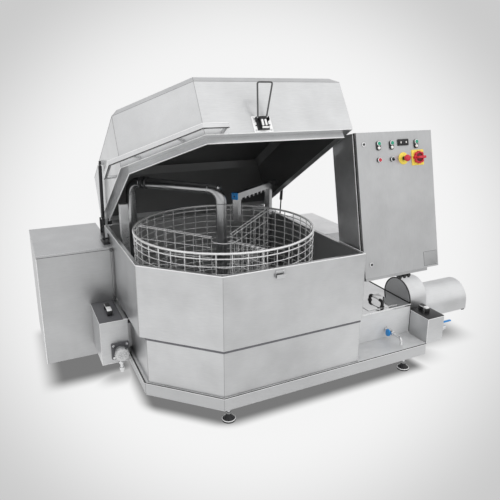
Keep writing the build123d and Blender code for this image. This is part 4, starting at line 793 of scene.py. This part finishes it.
class WASHER_OT_lids(bpy.types.Operator):
    """Makes the drain and filter boxes' lids with bridge handles, and the strainer hatch with its bow"""
    bl_idname = "washer.lids"
    bl_label = "Box lids and hatch"

    def execute(self, context):
        for node, body, finish, grip, width, x, y in (
                ("drain_box_lid", "drain_lid", "drain_top", 0.130, 0.034, 0.008, -0.020),
                ("filter_box_lid", "filter_lid", "filter_top", 0.080, 0.036, -0.010, 0.024)):
            low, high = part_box(node)
            top = high.z - handle_rise
            sheets = clad(finish, *lid_sheets(low, high, top, 0.004, 0.0045, 0.001))
            place = moved((low.x + high.x) / 2 + x, (low.y + high.y) / 2 + y, top)
            lid = joined(sheets, put(bridge_handle(grip, width), place))
            fit(lid, node + "_dressed", body, "dark_metal", node)
        low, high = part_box("strainer_hatch")
        top = high.z - 0.059
        sheets = lid_sheets(low, high, top, 0.003, 0.016, 0.0012)
        x, y = (low.x + high.x) / 2, (low.y + high.y) / 2 - 0.026
        size, half, crest = context.scene.washer_wires.bow, 0.068, top + 0.040
        bow = wire([(x, y - half, top), (x, y - half, crest), (x, y + half, crest), (x, y + half, top)],
                   size, 0.020, 4)
        cup = turned([(15, 0), (15, 5), (11, 8), (11, 20), (9, 22)], 24)
        cups = copies(cup, [moved(x, y + side * half, top) for side in (-1, 1)])
        cups += [wire([(x, y + side * half, top + 0.015), (x, y + side * half, crest),
                       (x, y + side * (half - 0.030), crest)], size * 1.55, 0.018, 4) for side in (-1, 1)]
        hatch = joined(clad("deck", *sheets), clad("bead", bow), clad("black", *cups))
        fit(hatch, "strainer_hatch_dressed", "hatch", "sheet_steel", "strainer_hatch")
        return {"FINISHED"}


class WASHER_OT_taps(bpy.types.Operator):
    """Turns the sump tap and the filter valve, their nuts, spouts and blue levers"""
    bl_idname = "washer.taps"
    bl_label = "Taps and levers"

    def execute(self, context):
        spout = context.scene.washer_pipes.spout
        front, x, z = -0.643, 0.685, 0.239
        mouth = front - 0.160
        run = turned([(16, 0), (16, 3), (10, 3.5), (10, 22), (16.5, 23), (16.5, 26), (19, 30), (19, 68),
                      (16.5, 72), (16.5, 76), (10.5, 77), (10.5, 82)])
        nuts = [hexagon(18.5, 12, start) for start in (14, 70)]
        stem_frame = facing((x, -0.694, z), (-1, 0, 0), (0, 1, 0))
        tap = [put(joined(run, *nuts), facing((x, front, z), front_way)),
               wire([(x, front - 0.080, z), (x, mouth, z), (x, mouth, z - 0.042)], spout, 0.026, 5, 8),
               put(hoop(spout, 0.0016, 0, 32), moved(x, mouth, z - 0.040)),
               put(turned([(7, 0), (7, 33)], 20), stem_frame)]
        fit(clad("chrome", *tap), "sump_tap_dressed", "machine", "chrome_metal", "sump_tap")
        wing = tablet((-0.019, -0.025, 0.0195), (0.019, 0.025, 0.0328), 0.0180, 0.004, 8)
        hub = turned([(11, 19.3), (11, 30), (9, 33.2)], 24)
        fit(clad("blue", put(joined(wing, hub), stem_frame)), "sump_tap_wing", "tap_lever", "blue_plastic",
            "sump_tap_lever")

        stem_x, y, z = 1.089, -0.7355, 0.196
        run = turned([(13, -4), (13, 22), (17.5, 23), (17.5, 32), (21, 37), (21, 73), (17.5, 78), (17.5, 87),
                      (13, 88), (13, 109), (10.5, 110), (10.5, 100)])
        nuts = [hexagon(20.5, 14, start) for start in (22, 74)]
        valve = put(joined(run, *nuts), facing((1.034, y, z), (1, 0, 0), (0, 1, 0)))
        stem = put(turned([(12, 16), (12, 30), (7, 31), (7, 46)], 24), moved(stem_x, y, z))
        fit(clad("chrome", valve, stem), "filter_valve_dressed", "machine", "chrome_metal", "filter_valve")
        low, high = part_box("filter_valve_lever")
        arm = tablet((low.x + 0.004, y - 0.009, low.z), (high.x, y + 0.009, high.z), 0.0085, 0.0015)
        hub = put(turned([(14, 0), (14, 5), (12, 6)], 28), moved(stem_x, y, low.z))
        fit(clad("blue", arm, hub), "filter_valve_arm", "valve_lever", "blue_plastic", "filter_valve_lever")
        return {"FINISHED"}


class WASHER_OT_drain(bpy.types.Operator):
    """Makes the drain's bolted flange, stub, little tap and ribbed cap"""
    bl_idname = "washer.drain"
    bl_label = "Drain outlet"

    def execute(self, context):
        x = -1.029
        face = facing((x, -0.135, 0.233), front_way)
        flange = tablet((-0.055, -0.055, 0), (0.055, 0.055, 0.008), 0.008, 0.001)
        stub = turned([(34, 7), (34, 14), (30, 16), (30, 60), (28, 62)], 40)
        corners = (-0.041, 0.041)
        bolts = copies(hexagon(9, 8, 7.8), [moved(across, up) for across in corners for up in corners])
        outlet = joined(clad("drain_top", flange), clad("socket", stub), clad("chrome", *bolts))
        drop = turned([(9, 92), (10, 94), (10, 104), (14, 108), (14, 124), (9, 127), (9, 148), (15, 152),
                       (16, 160), (15, 168), (10, 172), (10, 222)], 24)
        outlet = joined(put(outlet, face), clad("chrome", put(drop, moved(x, -0.158))))
        fit(outlet, "drain_outlet_dressed", "machine", "chrome_metal", "drain_outlet")
        cap = turned([(38.5, 46), (40, 44), (42.5, 46), (42.5, 71), (40, 75.5), (26, 75.5), (24, 73.5),
                      (6, 73.5)], 48)
        rib = block((0.040, -0.0055, 0.045), (0.0455, 0.0055, 0.073), 0.002)
        web = block((0.008, -0.0022, 0.0725), (0.0285, 0.0022, 0.0765), 0.001)
        cap = clad("cap", cap, *copies(rib, around(10)), *copies(web, around(8)))
        fit(put(cap, face), "drain_cap_dressed", "cap", "cap_metal", "drain_cap")
        return {"FINISHED"}


class WASHER_OT_controls(bpy.types.Operator):
    """Builds the door's push-buttons, lenses, display, stop button, selector and main switch"""
    bl_idname = "washer.controls"
    bl_label = "Controls"

    def execute(self, context):
        upper, lower, display = 0.814, 0.714, 0.353
        greens = {"left": (0.160, upper), "middle": (0.261, upper), "right": (0.457, upper)}
        red, selector, stop, switch = ((x, lower) for x in (0.160, 0.261, 0.350, 0.466))

        def placed(finish, piece, *spots):
            return clad(finish, *copies(piece, [door_frame @ moved(*spot) for spot in spots]))

        cap = [(10.4, -14), (10.4, 12.5), (10, 15.5), (9, 16.8), (7.6, 17), (6, 16.2), (1.5, 15.8)]
        buttons = [("green_button_" + side, side + "_green", "green", spot) for side, spot in greens.items()]
        for node, body, tint, spot in buttons + [("red_button", "red", "red", red)]:
            fit(placed(tint, turned(cap), spot), node + "_cap", body, tint + "_plastic", node)

        tops = list(greens.values())
        lenses = [(x, y - 0.027) for x, y in tops]
        windows, dials = ([(display + side, upper) for side in sides]
                          for sides in ((-0.0205, 0.0205), (-0.0215, 0.0205)))
        sleeve = turned([(14.2, 7), (14.6, 8.5), (14.6, 10.5), (13.6, 12.4), (11.9, 13), (11.2, 12),
                         (11.2, 8)], 40)
        oblong = tablet((-0.0148, -0.0418, 0), (0.0148, 0.0148, 0.008), 0.0146, 0.001, 10)
        lens = turned([(9.8, 7), (9.8, 10.4), (8.6, 12.5), (6, 13.8), (1.5, 14.4)], 28)
        collar = turned([(14.6, 0), (14.6, 7), (13.8, 8), (12, 8)], 36)
        screen = tablet((-0.041, -0.020, 0), (0.041, 0.020, 0.008), 0.003, 0.0015)
        window = tablet((-0.014, -0.013, 0.0078), (0.014, 0.013, 0.0088), 0.002, 0.0004)
        dial = tablet((-0.0035, -0.0065, 0.0086), (0.0035, 0.0065, 0.0104), 0.003, 0.0006)
        disc = turned([(37.5, 0), (38, 0.8), (38, 2.2), (36.5, 3), (14, 3)], 56)
        plate = tablet((-0.049, -0.049, 0), (0.049, 0.049, 0.003), 0.005)
        seat = turned([(39, 2.8), (39, 4.2), (38, 5)], 48)
        fixed = [placed(finish, piece, *spots) for finish, piece, spots in (
            ("bead", sleeve, [*tops, red, selector]), ("black", oblong, tops), ("lens", lens, lenses),
            ("black", collar, [red, selector]), ("black", screen, [(display, upper)]),
            ("rubber", window, windows), ("lens", dial, dials), ("yellow", disc, [stop]),
            ("yellow", plate, [switch]), ("yellow", seat, [switch]))]
        fit(joined(*fixed), "control_fittings", "door", "yellow_plastic", "control_bezels")

        stem = turned([(10.4, -14), (10.4, 6), (12.5, 6.5), (12.5, 30), (10.4, 32)])
        mushroom = turned([(13, 30.5), (19.5, 32), (20.8, 34.5), (21, 40), (20.3, 44), (18, 47.8),
                           (13, 50.2), (6, 50.9), (1, 51)], 40)
        fit(joined(placed("red", mushroom, stop), placed("black", stem, stop)), "stop_mushroom", "stop",
            "red_plastic", "stop_button")
        knob = turned([(10.4, -14), (10.4, 12.5), (9.8, 14)])
        grip = tablet((-0.0042, -0.0100, 0.0130), (0.0042, 0.0100, 0.0235), 0.0038, 0.0015)
        mark = block((-0.0008, 0.0010, 0.0230), (0.0008, 0.0092, 0.0238), 0.0002, 1)
        fit(joined(placed("black", joined(knob, grip), selector), placed("lens", mark, selector)),
            "selector_grip", "selector", "black_plastic", "selector_knob")
        hub = turned([(9.8, -14), (9.8, 3.4), (36, 5.2), (38.5, 7.2), (38.5, 20), (36, 23), (30, 23),
                      (28.5, 18), (10, 18)], 8)
        lobe = tablet((0.0290, -0.0095, 0.0070), (0.0400, 0.0095, 0.0238), 0.003, 0.002)
        handle = tablet((-0.0310, -0.0080, 0.0170), (0.0310, 0.0080, 0.0495), 0.005, 0.004)
        hollow = turned([(27, 17.8), (27, 18.6), (26.2, 19)])
        grip = joined(hub, handle, *copies(lobe, around(8)))
        fit(joined(placed("red", grip, switch), placed("wine", hollow, switch)), "main_switch_grip",
            "switch", "red_plastic", "main_switch")
        return {"FINISHED"}


class WASHER_OT_cabinet(bpy.types.Operator):
    """Adds the cabinet's lock heads, cable glands with their tray, and bare plate"""
    bl_idname = "washer.cabinet"
    bl_label = "Cabinet trim"

    def execute(self, context):
        for name, height in (("upper", 0.813), ("lower", 0.080)):
            head = turned([(14, 0.3), (15, 1), (15, 3), (13.2, 4.6), (8.2, 4.6), (7.8, 3), (2, 3)])
            barrel = turned([(7.9, -21.5), (7.9, 0.6)], 24)
            cam = tablet((-0.007, -0.044, -0.0245), (0.007, 0.007, -0.0215), 0.004, 0.0005)
            well = turned([(7.6, 2.8), (7.6, 3.8), (7, 4)], 24)
            key = block((-0.0066, -0.0022, 0.0026), (0.0066, 0.0022, 0.0050), 0.0006)
            lock = joined(clad("chrome", head, barrel, cam), clad("black", well, key))
            fit(put(lock, door_frame @ moved(0.051, height)), "lock_head_" + name, name + "_lock",
                "chrome_metal", "door_lock_" + name)
        body = [(15, -3), (15, 6), (13, 6.5), (13, 12), (14.5, 13), (14.5, 22), (12, 26), (8.5, 29), (8, 34),
                (6, 35), (5.5, 30), (1, 30)]
        gland = joined(turned(body, 28), hexagon(17, 9))
        below, tray_drop = door_frame.to_3x3() @ front_way, 0.024
        near, far = -0.065, -0.105
        glands = [facing(door_frame @ Vector((x, -tray_drop, z)), below)
                  for x, z in ((0.322, near), (0.356, near), (0.390, near), (0.339, far), (0.373, far))]
        tray = put(block((0.020, -tray_drop, -0.230), (0.513, -0.0002, -0.0215), 0.0012), door_frame)
        fit(clad("cabinet", tray), "gland_tray", "machine", "sheet_steel")
        fit(clad("black", *copies(gland, glands)), "cable_glands", "machine", "black_plastic")
        plate = tablet((0.471, 0.012, 0), (0.579, 0.102, 0.0012), 0.003, 0.0003)
        spots = [moved(x, y, 0.0011) for x in (0.4765, 0.5735) for y in (0.0175, 0.0965)]
        rivets = copies(screw(2.2, 1.4), spots)
        border = tablet((0.4695, 0.0105, 0), (0.5805, 0.1035, 0.0006), 0.004, 0.0002)
        label = joined(clad("seam", border), clad("plate", plate), clad("chrome", *rivets))
        fit(put(label, door_frame), "bare_plate", "door", "sheet_steel")
        return {"FINISHED"}


class WASHER_OT_struts(bpy.types.Operator):
    """Turns the gas struts' tubes and the side tank's tie rod, and sets the hinge guards"""
    bl_idname = "washer.struts"
    bl_label = "Struts and tie rod"

    def execute(self, context):
        foot_y, foot_z = 0.311, 0.846
        boss = hood_frame @ Vector((0, -0.503, 0.289))
        way = Vector((0, boss.y - foot_y, boss.z - foot_z))
        for side in ("left", "right"):
            low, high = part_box("strut_tube_" + side)
            x = (low.x + high.x) / 2
            tube = turned([(6.2, 150.2), (9.8, 150.2), (11, 152), (11, 504), (9.8, 506.5), (5.5, 506.6),
                           (5.5, 525)])
            collar = turned([(11.2, 158), (11.6, 158.5), (11.6, 161), (11.2, 161.5)])
            eye = turned([(10, -6), (11, -5), (11, 5), (10, 6)], 28)
            strut = clad("dark", put(joined(tube, collar), facing((x, foot_y, foot_z), way)),
                         put(eye, facing((x, boss.y, boss.z), (1, 0, 0))))
            fit(strut, "gas_strut_" + side, side + "_strut_tube", "dark_metal", "strut_tube_" + side)
        guards = [block((x - 0.048, 0.5572, 0.815), (x + 0.048, 0.5597, 0.935))
                  for x in (tub_middle - 0.612, tub_middle + 0.612)]
        soles = [block((x, 0.255, z), (x + 0.0435, 0.375, z + 0.006))
                 for x, z in ((-1.020, 0.820), (0.3205, 0.812))]
        fit(clad("dark", *guards, *soles), "hinge_guards", "machine", "dark_metal")
        low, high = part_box("tie_rod")
        x, wall, inset = (low.x + high.x) / 2, high.y, 0.011
        ends = (low.z + inset, high.z - inset)
        rod = bar(*[(x, wall - inset, level) for level in ends], 0.0045, 16)
        knob = turned([(11, -0.5), (11, 14), (8.5, 18), (8.5, 21.5)], 24)
        knobs = copies(knob, [facing((x, wall, level), front_way) for level in ends])
        fit(joined(clad("socket", rod), clad("bail", *knobs)), "tie_rod_dressed", "machine", "chrome_metal",
            "tie_rod")
        return {"FINISHED"}


def outline(inset, left_inset, right, level):
    """Corners of the tub's five-sided plan moved inwards, from its right front round to its right back."""
    left, front, back, cut = -0.975, -0.835, 0.455, 0.372 + inset * math.sqrt(2)
    return [(right, front + inset, level), (left + cut - inset, front + inset, level),
            (left + left_inset, front + cut - left_inset, level), (left + left_inset, back - inset, level),
            (right, back - inset, level)]


def in_hood(points):
    """Points over the tub's plan carried up with the open hood."""
    return [hood_frame @ Vector((x, y - hinge_back, z)) for x, y, z in points]


class WASHER_OT_trim(bpy.types.Operator):
    """Lays the dark seals and painted shadow lines, the pale beads and painted highlight lines, the fold
    lines and the pads of the sheet work
    """
    bl_idname = "washer.trim"
    bl_label = "Seals and beads"

    def execute(self, context):
        # Pale lines: the tub's rolled rim and the base's top edge, their paleness a painted highlight
        rim = outline(0.002, 0.002, 0.317, 0.8985)
        ledge = outline(-0.004, 0.006, 0.877, 0.1715)
        fit(clad("bead", line(rim + rim[:1], 0.0032, 2), line(ledge[:4], 0.0018)), "rim_bead", "machine",
            "sheet_steel")
        # Painted highlights: pale lines along the hood's lower front edge and its inner lip
        hood_edge = in_hood(outline(-0.010, -0.010, 0.329, 0.0392))
        lip_edge = in_hood(outline(0.034, 0.034, 0.285, 0.008))
        fit(clad("bead", line(hood_edge[:4], 0.0026), line(lip_edge[:4], 0.0036)), "hood_edge_bead", "lid",
            "lid_steel")
        # Painted shadow: two grey lines under the upper tub's step stand for the shade below its overhang
        step = [line(outline(0.0065, 0.0345, 0.3125, level), 0.0052) for level in (0.4610, 0.4545)]
        # Dark line under the base's top edge: partly its seam, partly a painted shadow of the top's
        # overhang, drawn thicker along the left
        skirt_seam_shadow = outline(-0.002, 0.016, 0.877, 0.1735)
        low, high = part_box("pump_hood")
        y, z, radius = -0.497, 0.388, 0.138
        turns = [math.pi * number / 28 for number in range(29)]
        arc = [(low.x, y + radius * math.cos(turn), z + radius * math.sin(turn)) for turn in turns]
        edge = [(low.x - 0.001, y, 0.3885) for y in (-0.6435, -0.120)]
        corner = [(0.8925, -0.6435, z) for z in (0.386, 0.176)]
        seams_and_shadows = clad("rubber", line(skirt_seam_shadow, 0.0030), line(skirt_seam_shadow[2:4], 0.0042), line(arc, 0.0042, 2),
                     line(edge, 0.0044, 2), line(corner, 0.0028, 2))
        fit(joined(seams_and_shadows, clad("step", *step)), "dark_seams", "machine", "black_plastic")
        self.folds()
        self.box_edges()
        low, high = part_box("motor_hood")
        pads = [block((high.x - 0.030, y - 0.014, low.z - 0.012), (high.x - 0.004, y + 0.014, low.z), 0.003)
                for y in (low.y + 0.018, high.y - 0.018)]
        fit(clad("rubber", *pads), "motor_hood_pads", "machine", "black_plastic")
        self.door_seal()
        return {"FINISHED"}

    def folds(self):
        """Fold lines of the tub, its base and the hood, darker to paint the shade along each fold, and the
        rail's painted highlight on top and painted shadow underneath.
        """
        thin = 0.0013
        lines = []
        for inset, left_inset, bottom, top in ((0, 0, 0.466, 0.897), (0.006, 0.034, 0.177, 0.456),
                                               (-0.002, 0.016, 0.097, 0.170)):
            ends = zip(outline(inset, left_inset, 0, bottom), outline(inset, left_inset, 0, top))
            lines += [bar(low, high, thin) for low, high in list(ends)[1:3]]
        fit(clad("fold", *lines), "sheet_folds", "machine", "sheet_steel")
        foot, shoulder = (in_hood(outline(-0.010, -0.010, 0.329, level)) for level in (0.042, 0.354))
        roof = in_hood(outline(0.030, 0.030, 0.289, 0.402))
        lines = [line([foot[spot], shoulder[spot], roof[spot]], thin) for spot in (1, 2)]
        fit(clad("fold", *lines, line(shoulder[:4], thin)), "hood_folds", "lid", "lid_steel")

        def along_rail(offset, level):
            return in_hood(outline(-offset, -offset, -0.491, level)[:3] + [(-0.975 - offset, -0.288, level)])

        # Painted highlight: a pale line along the rail's top
        crest = clad("bead", line(along_rail(0.077, 0.0725), 0.0024))
        # Painted shadow: a dark line along the rail's underside
        under = clad("rubber", line(along_rail(0.076, 0.0462), 0.0022))
        fit(joined(crest, under), "rail_edges", "lid", "lid_steel")

    def box_edges(self):
        """Painted highlights along the folded edges of the drain box, the filter box, the side tank and the
        sump's deck.
        """
        thin = 0.0022

        def frame_of(node):
            low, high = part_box(node)
            return low + Vector((0.0005, 0.0005, 0.001)), high

        low, high = frame_of("drain_box")
        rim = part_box("drain_box_lid")[1].z - handle_rise - 0.0063
        edges = [line([(high.x, low.y, rim), (low.x, low.y, rim), low, (high.x, low.y, low.z)], thin),
                 bar((low.x, low.y, rim), (low.x, high.y, rim), thin)]
        low, high = frame_of("filter_box")
        rim = high.z - 0.0025
        edges += [line([(low.x, high.y, rim), (low.x, low.y, rim), (high.x, low.y, rim)], thin),
                  bar(low, (low.x, low.y, rim), thin)]
        low, high = frame_of("sump_deck")
        level = high.z - 0.002
        edges.append(bar((low.x + 0.006, low.y, level), (high.x, low.y, level), 0.0028))
        low, high = frame_of("side_tank")
        edges.append(bar(low, (low.x, low.y, high.z - 0.016), 0.0026))
        level = high.z - 0.0145
        seam = bar((low.x, low.y, level), (high.x, low.y, level), 0.0018)
        fit(joined(clad("bead", *edges), clad("seam", seam)), "box_edges", "machine", "sheet_steel")

    def door_seal(self):
        """Dark seal round the cabinet door's back, and the case's flange behind its left edge, in a pale
        finish that paints its highlight.
        """
        width, height, front = 0.590, 0.884, -0.0178
        deep, proud, thick = -0.030, 0.0010, 0.003
        right, top = width + proud, height + proud
        bars = [block((*start, deep), (*end, front), 0.0005, 1) for start, end in (
            ((-proud, -proud), (thick, top)), ((width - thick, -proud), (right, top)),
            ((-proud, -proud), (right, thick)), ((-proud, height - thick), (right, top)))]
        flange = bar((0, 0.002, deep - 0.003), (0, height - 0.002, deep - 0.003), 0.0026)
        seal = put(joined(clad("rubber", *bars), clad("bead", flange)), door_frame)
        fit(seal, "door_seal", "machine", "black_plastic")


class WASHER_OT_studio(bpy.types.Operator):
    """Sets the pale floor and backdrop, the soft lights and the camera"""
    bl_idname = "washer.studio"
    bl_label = "Studio"

    eye = Vector((-1.5661, -3.2250, 1.89556))
    ahead = Vector((0.433873, 0.860868, -0.265819))
    across = Vector((0.894073, -0.447832, 0.008991))
    upward = Vector((0.111302, 0.241563, 0.963981))
    shift = (-0.02941, -0.0508)
    sensor = 36.0

    def execute(self, context):
        scene = context.scene
        studio = scene.washer_studio
        scene.view_settings.view_transform = "Standard"
        camera = bpy.data.objects.new("camera", bpy.data.cameras.new("camera"))
        scene.collection.objects.link(camera)
        scene.camera = camera
        turn = Matrix((self.across, self.upward, -self.ahead)).transposed().to_4x4()
        camera.matrix_world = Matrix.Translation(self.eye) @ turn
        camera.data.lens = studio.lens
        camera.data.sensor_width = self.sensor
        camera.data.shift_x, camera.data.shift_y = self.shift
        camera.data.clip_end = 200.0
        middle = (self.ahead * studio.lens + self.across * self.shift[0] * self.sensor
                  + self.upward * self.shift[1] * self.sensor)
        self.middle = tuple(middle.normalized())
        self.floor(studio)
        self.backdrop(scene, studio)
        target = Vector((0, -0.3, 0.6))
        for name, place, size, watts in (("key", (3.6, -4.6, 4.2), 4.6, studio.key),
                                         ("fill", (-4.6, -3.4, 3.0), 4.0, studio.fill),
                                         ("top", (-0.6, -0.2, 5.0), 4.0, studio.top)):
            lamp = bpy.data.objects.new(name + "_light", bpy.data.lights.new(name + "_light", "AREA"))
            scene.collection.objects.link(lamp)
            lamp.data.size = size
            lamp.data.energy = watts
            lamp.visible_glossy = False
            lamp.matrix_world = facing(place, Vector(place) - target)
        return {"FINISHED"}

    def falloff(self, tree, look, studio):
        """Painted pool of light on floor and backdrop: pale in the middle of the view, dimmer towards its
        corners.
        """
        near = tree.between(tree.dot(look, self.middle), 0.835, 0.945)
        return tree.mixed(near, tuple(studio.edge), tuple(studio.pale))

    def floor(self, studio):
        """Wide pale disc with a painted shadow near the machine, fading into the backdrop."""
        alone()
        bpy.ops.mesh.primitive_circle_add(vertices=96, radius=60.0, fill_type="NGON",
                                          location=(0, 0, -0.0005))
        begin_edit()
        bpy.ops.mesh.inset(thickness=50.0)
        ground = end_edit()
        ground.name = "studio_floor"
        finish, tree, here = new_finish("pale_floor")
        sight = tree.vector("NORMALIZE", tree.vector("SUBTRACT", here, tuple(self.eye)))
        x, y = (tree.axis(here, name) for name in "XY")
        # Painted light: the glow that metal reflects from the floor is made brighter or dimmer along X
        mirrored = tinted(studio.bounce, 0.80)
        for start, end, factor in ((0.0, 0.8, 1.0), (0.9, 2.0, 0.66), (-0.2, -1.6, 1.02)):
            mirrored = tree.mixed(tree.between(x, start, end), mirrored, tinted(studio.bounce, factor))
        # Painted shadow: the floor is darkened under the machine's plan, as the camera sees it
        shown = tree.mixed(self.shadow(tree, x, y), self.falloff(tree, sight, studio), tuple(studio.shadow))
        seen = tree.add("ShaderNodeLightPath", output="Is Camera Ray")
        shiny = tree.add("ShaderNodeLightPath", output="Is Glossy Ray")
        glow = tree.add("ShaderNodeEmission", None,
                        {"Color": tree.mixed(seen, mirrored, shown), "Strength": 1.0})
        matt = tree.add("ShaderNodeBsdfDiffuse", None, {"Color": mirrored})
        both = tree.add("ShaderNodeMixShader", None, {0: (seen + shiny).within(), 1: matt, 2: glow})
        tree.add("ShaderNodeOutputMaterial", None, {"Surface": both})
        painted(ground, finish)

    def shadow(self, tree, x, y):
        """How dark the floor is under the base with its cut corner, the tanks, boxes, hoods and feet."""
        def under(low, high, soft):
            out_x = (x - (low[0] + high[0]) / 2).size() - (high[0] - low[0]) / 2
            out_y = (y - (low[1] + high[1]) / 2).size() - (high[1] - low[1]) / 2
            return tree.between(out_x, soft, -soft) * tree.between(out_y, soft, -soft)

        dark = under((-0.959, -0.845), (0.870, 0.457), 0.055) * tree.between(1.441 + x + y, -0.07, 0.07)
        for low, high, soft, depth in (((-1.440, -0.010), (-0.900, 0.855), 0.085, 1.0),
                                       ((-1.130, -0.120), (-0.900, 0.200), 0.080, 0.6),
                                       ((0.880, -0.600), (1.500, -0.340), 0.130, 0.85),
                                       ((0.870, -0.760), (1.060, -0.560), 0.120, 0.6),
                                       ((-0.581, -0.817), (-0.541, -0.777), 0.050, 0.8),
                                       ((0.817, -0.817), (0.857, -0.777), 0.050, 0.8)):
            dark = dark.most(under(low, high, soft) * depth)
        return dark

    def backdrop(self, scene, studio):
        """Pale world that the camera and bright metal see, dimmer at the back left."""
        scene.world = bpy.data.worlds.new("studio_world")
        tree = ShadeTree(scene.world)
        look = tree.coordinate("Generated")
        light = (0.64, 0.64, 0.645)
        for way, start, end, tone in (((0.36, -0.53, 0.77), 0.30, 0.97, (1.02, 1.02, 1.02)),
                                      ((-0.75, -0.05, 0.66), 0.88, 0.99, (1.0, 1.0, 1.0)),
                                      ((-0.704, 0.643, -0.302), 0.70, 0.97, (0.27, 0.27, 0.272))):
            light = tree.mixed(tree.between(tree.dot(look, way), start, end), light, tone)
        seen = tree.add("ShaderNodeLightPath", output="Is Camera Ray")
        shown = tree.mixed(seen, light, self.falloff(tree, look, studio))
        glow = tree.add("ShaderNodeBackground", None, {"Color": shown, "Strength": 1.0})
        tree.add("ShaderNodeOutputWorld", None, {"Surface": glow})


groups = {"washer_wires": WasherWireSizes, "washer_pipes": WasherPipeSizes, "washer_colours": WasherColours,
          "washer_studio": WasherStudio}
operators = (WASHER_OT_finishes, WASHER_OT_basket, WASHER_OT_pipes, WASHER_OT_feet, WASHER_OT_latch,
             WASHER_OT_lids, WASHER_OT_taps, WASHER_OT_drain, WASHER_OT_controls, WASHER_OT_cabinet,
             WASHER_OT_struts, WASHER_OT_trim, WASHER_OT_studio)


class WASHER_PT_panel(bpy.types.Panel):
    """Lists the washer's sizes, colours and pieces"""
    bl_idname = "WASHER_PT_panel"
    bl_label = "Parts washer"
    bl_space_type = "VIEW_3D"
    bl_region_type = "UI"
    bl_category = "Washer"

    def draw(self, context):
        for name, group in groups.items():
            for size in group.__annotations__:
                self.layout.prop(getattr(context.scene, name), size)
        for item in operators:
            self.layout.operator(item.bl_idname)


def register():
    for group in groups.values():
        bpy.utils.register_class(group)
    for name, group in groups.items():
        setattr(bpy.types.Scene, name, PointerProperty(type=group))
    for item in operators + (WASHER_PT_panel,):
        bpy.utils.register_class(item)


def unregister():
    for item in reversed(operators + (WASHER_PT_panel,)):
        bpy.utils.unregister_class(item)
    for name, group in groups.items():
        delattr(bpy.types.Scene, name)
        bpy.utils.unregister_class(group)


def main():
    register()
    for item in operators:
        getattr(bpy.ops.washer, item.bl_idname.split(".")[1])()


if __name__ == "__main__":
    main()
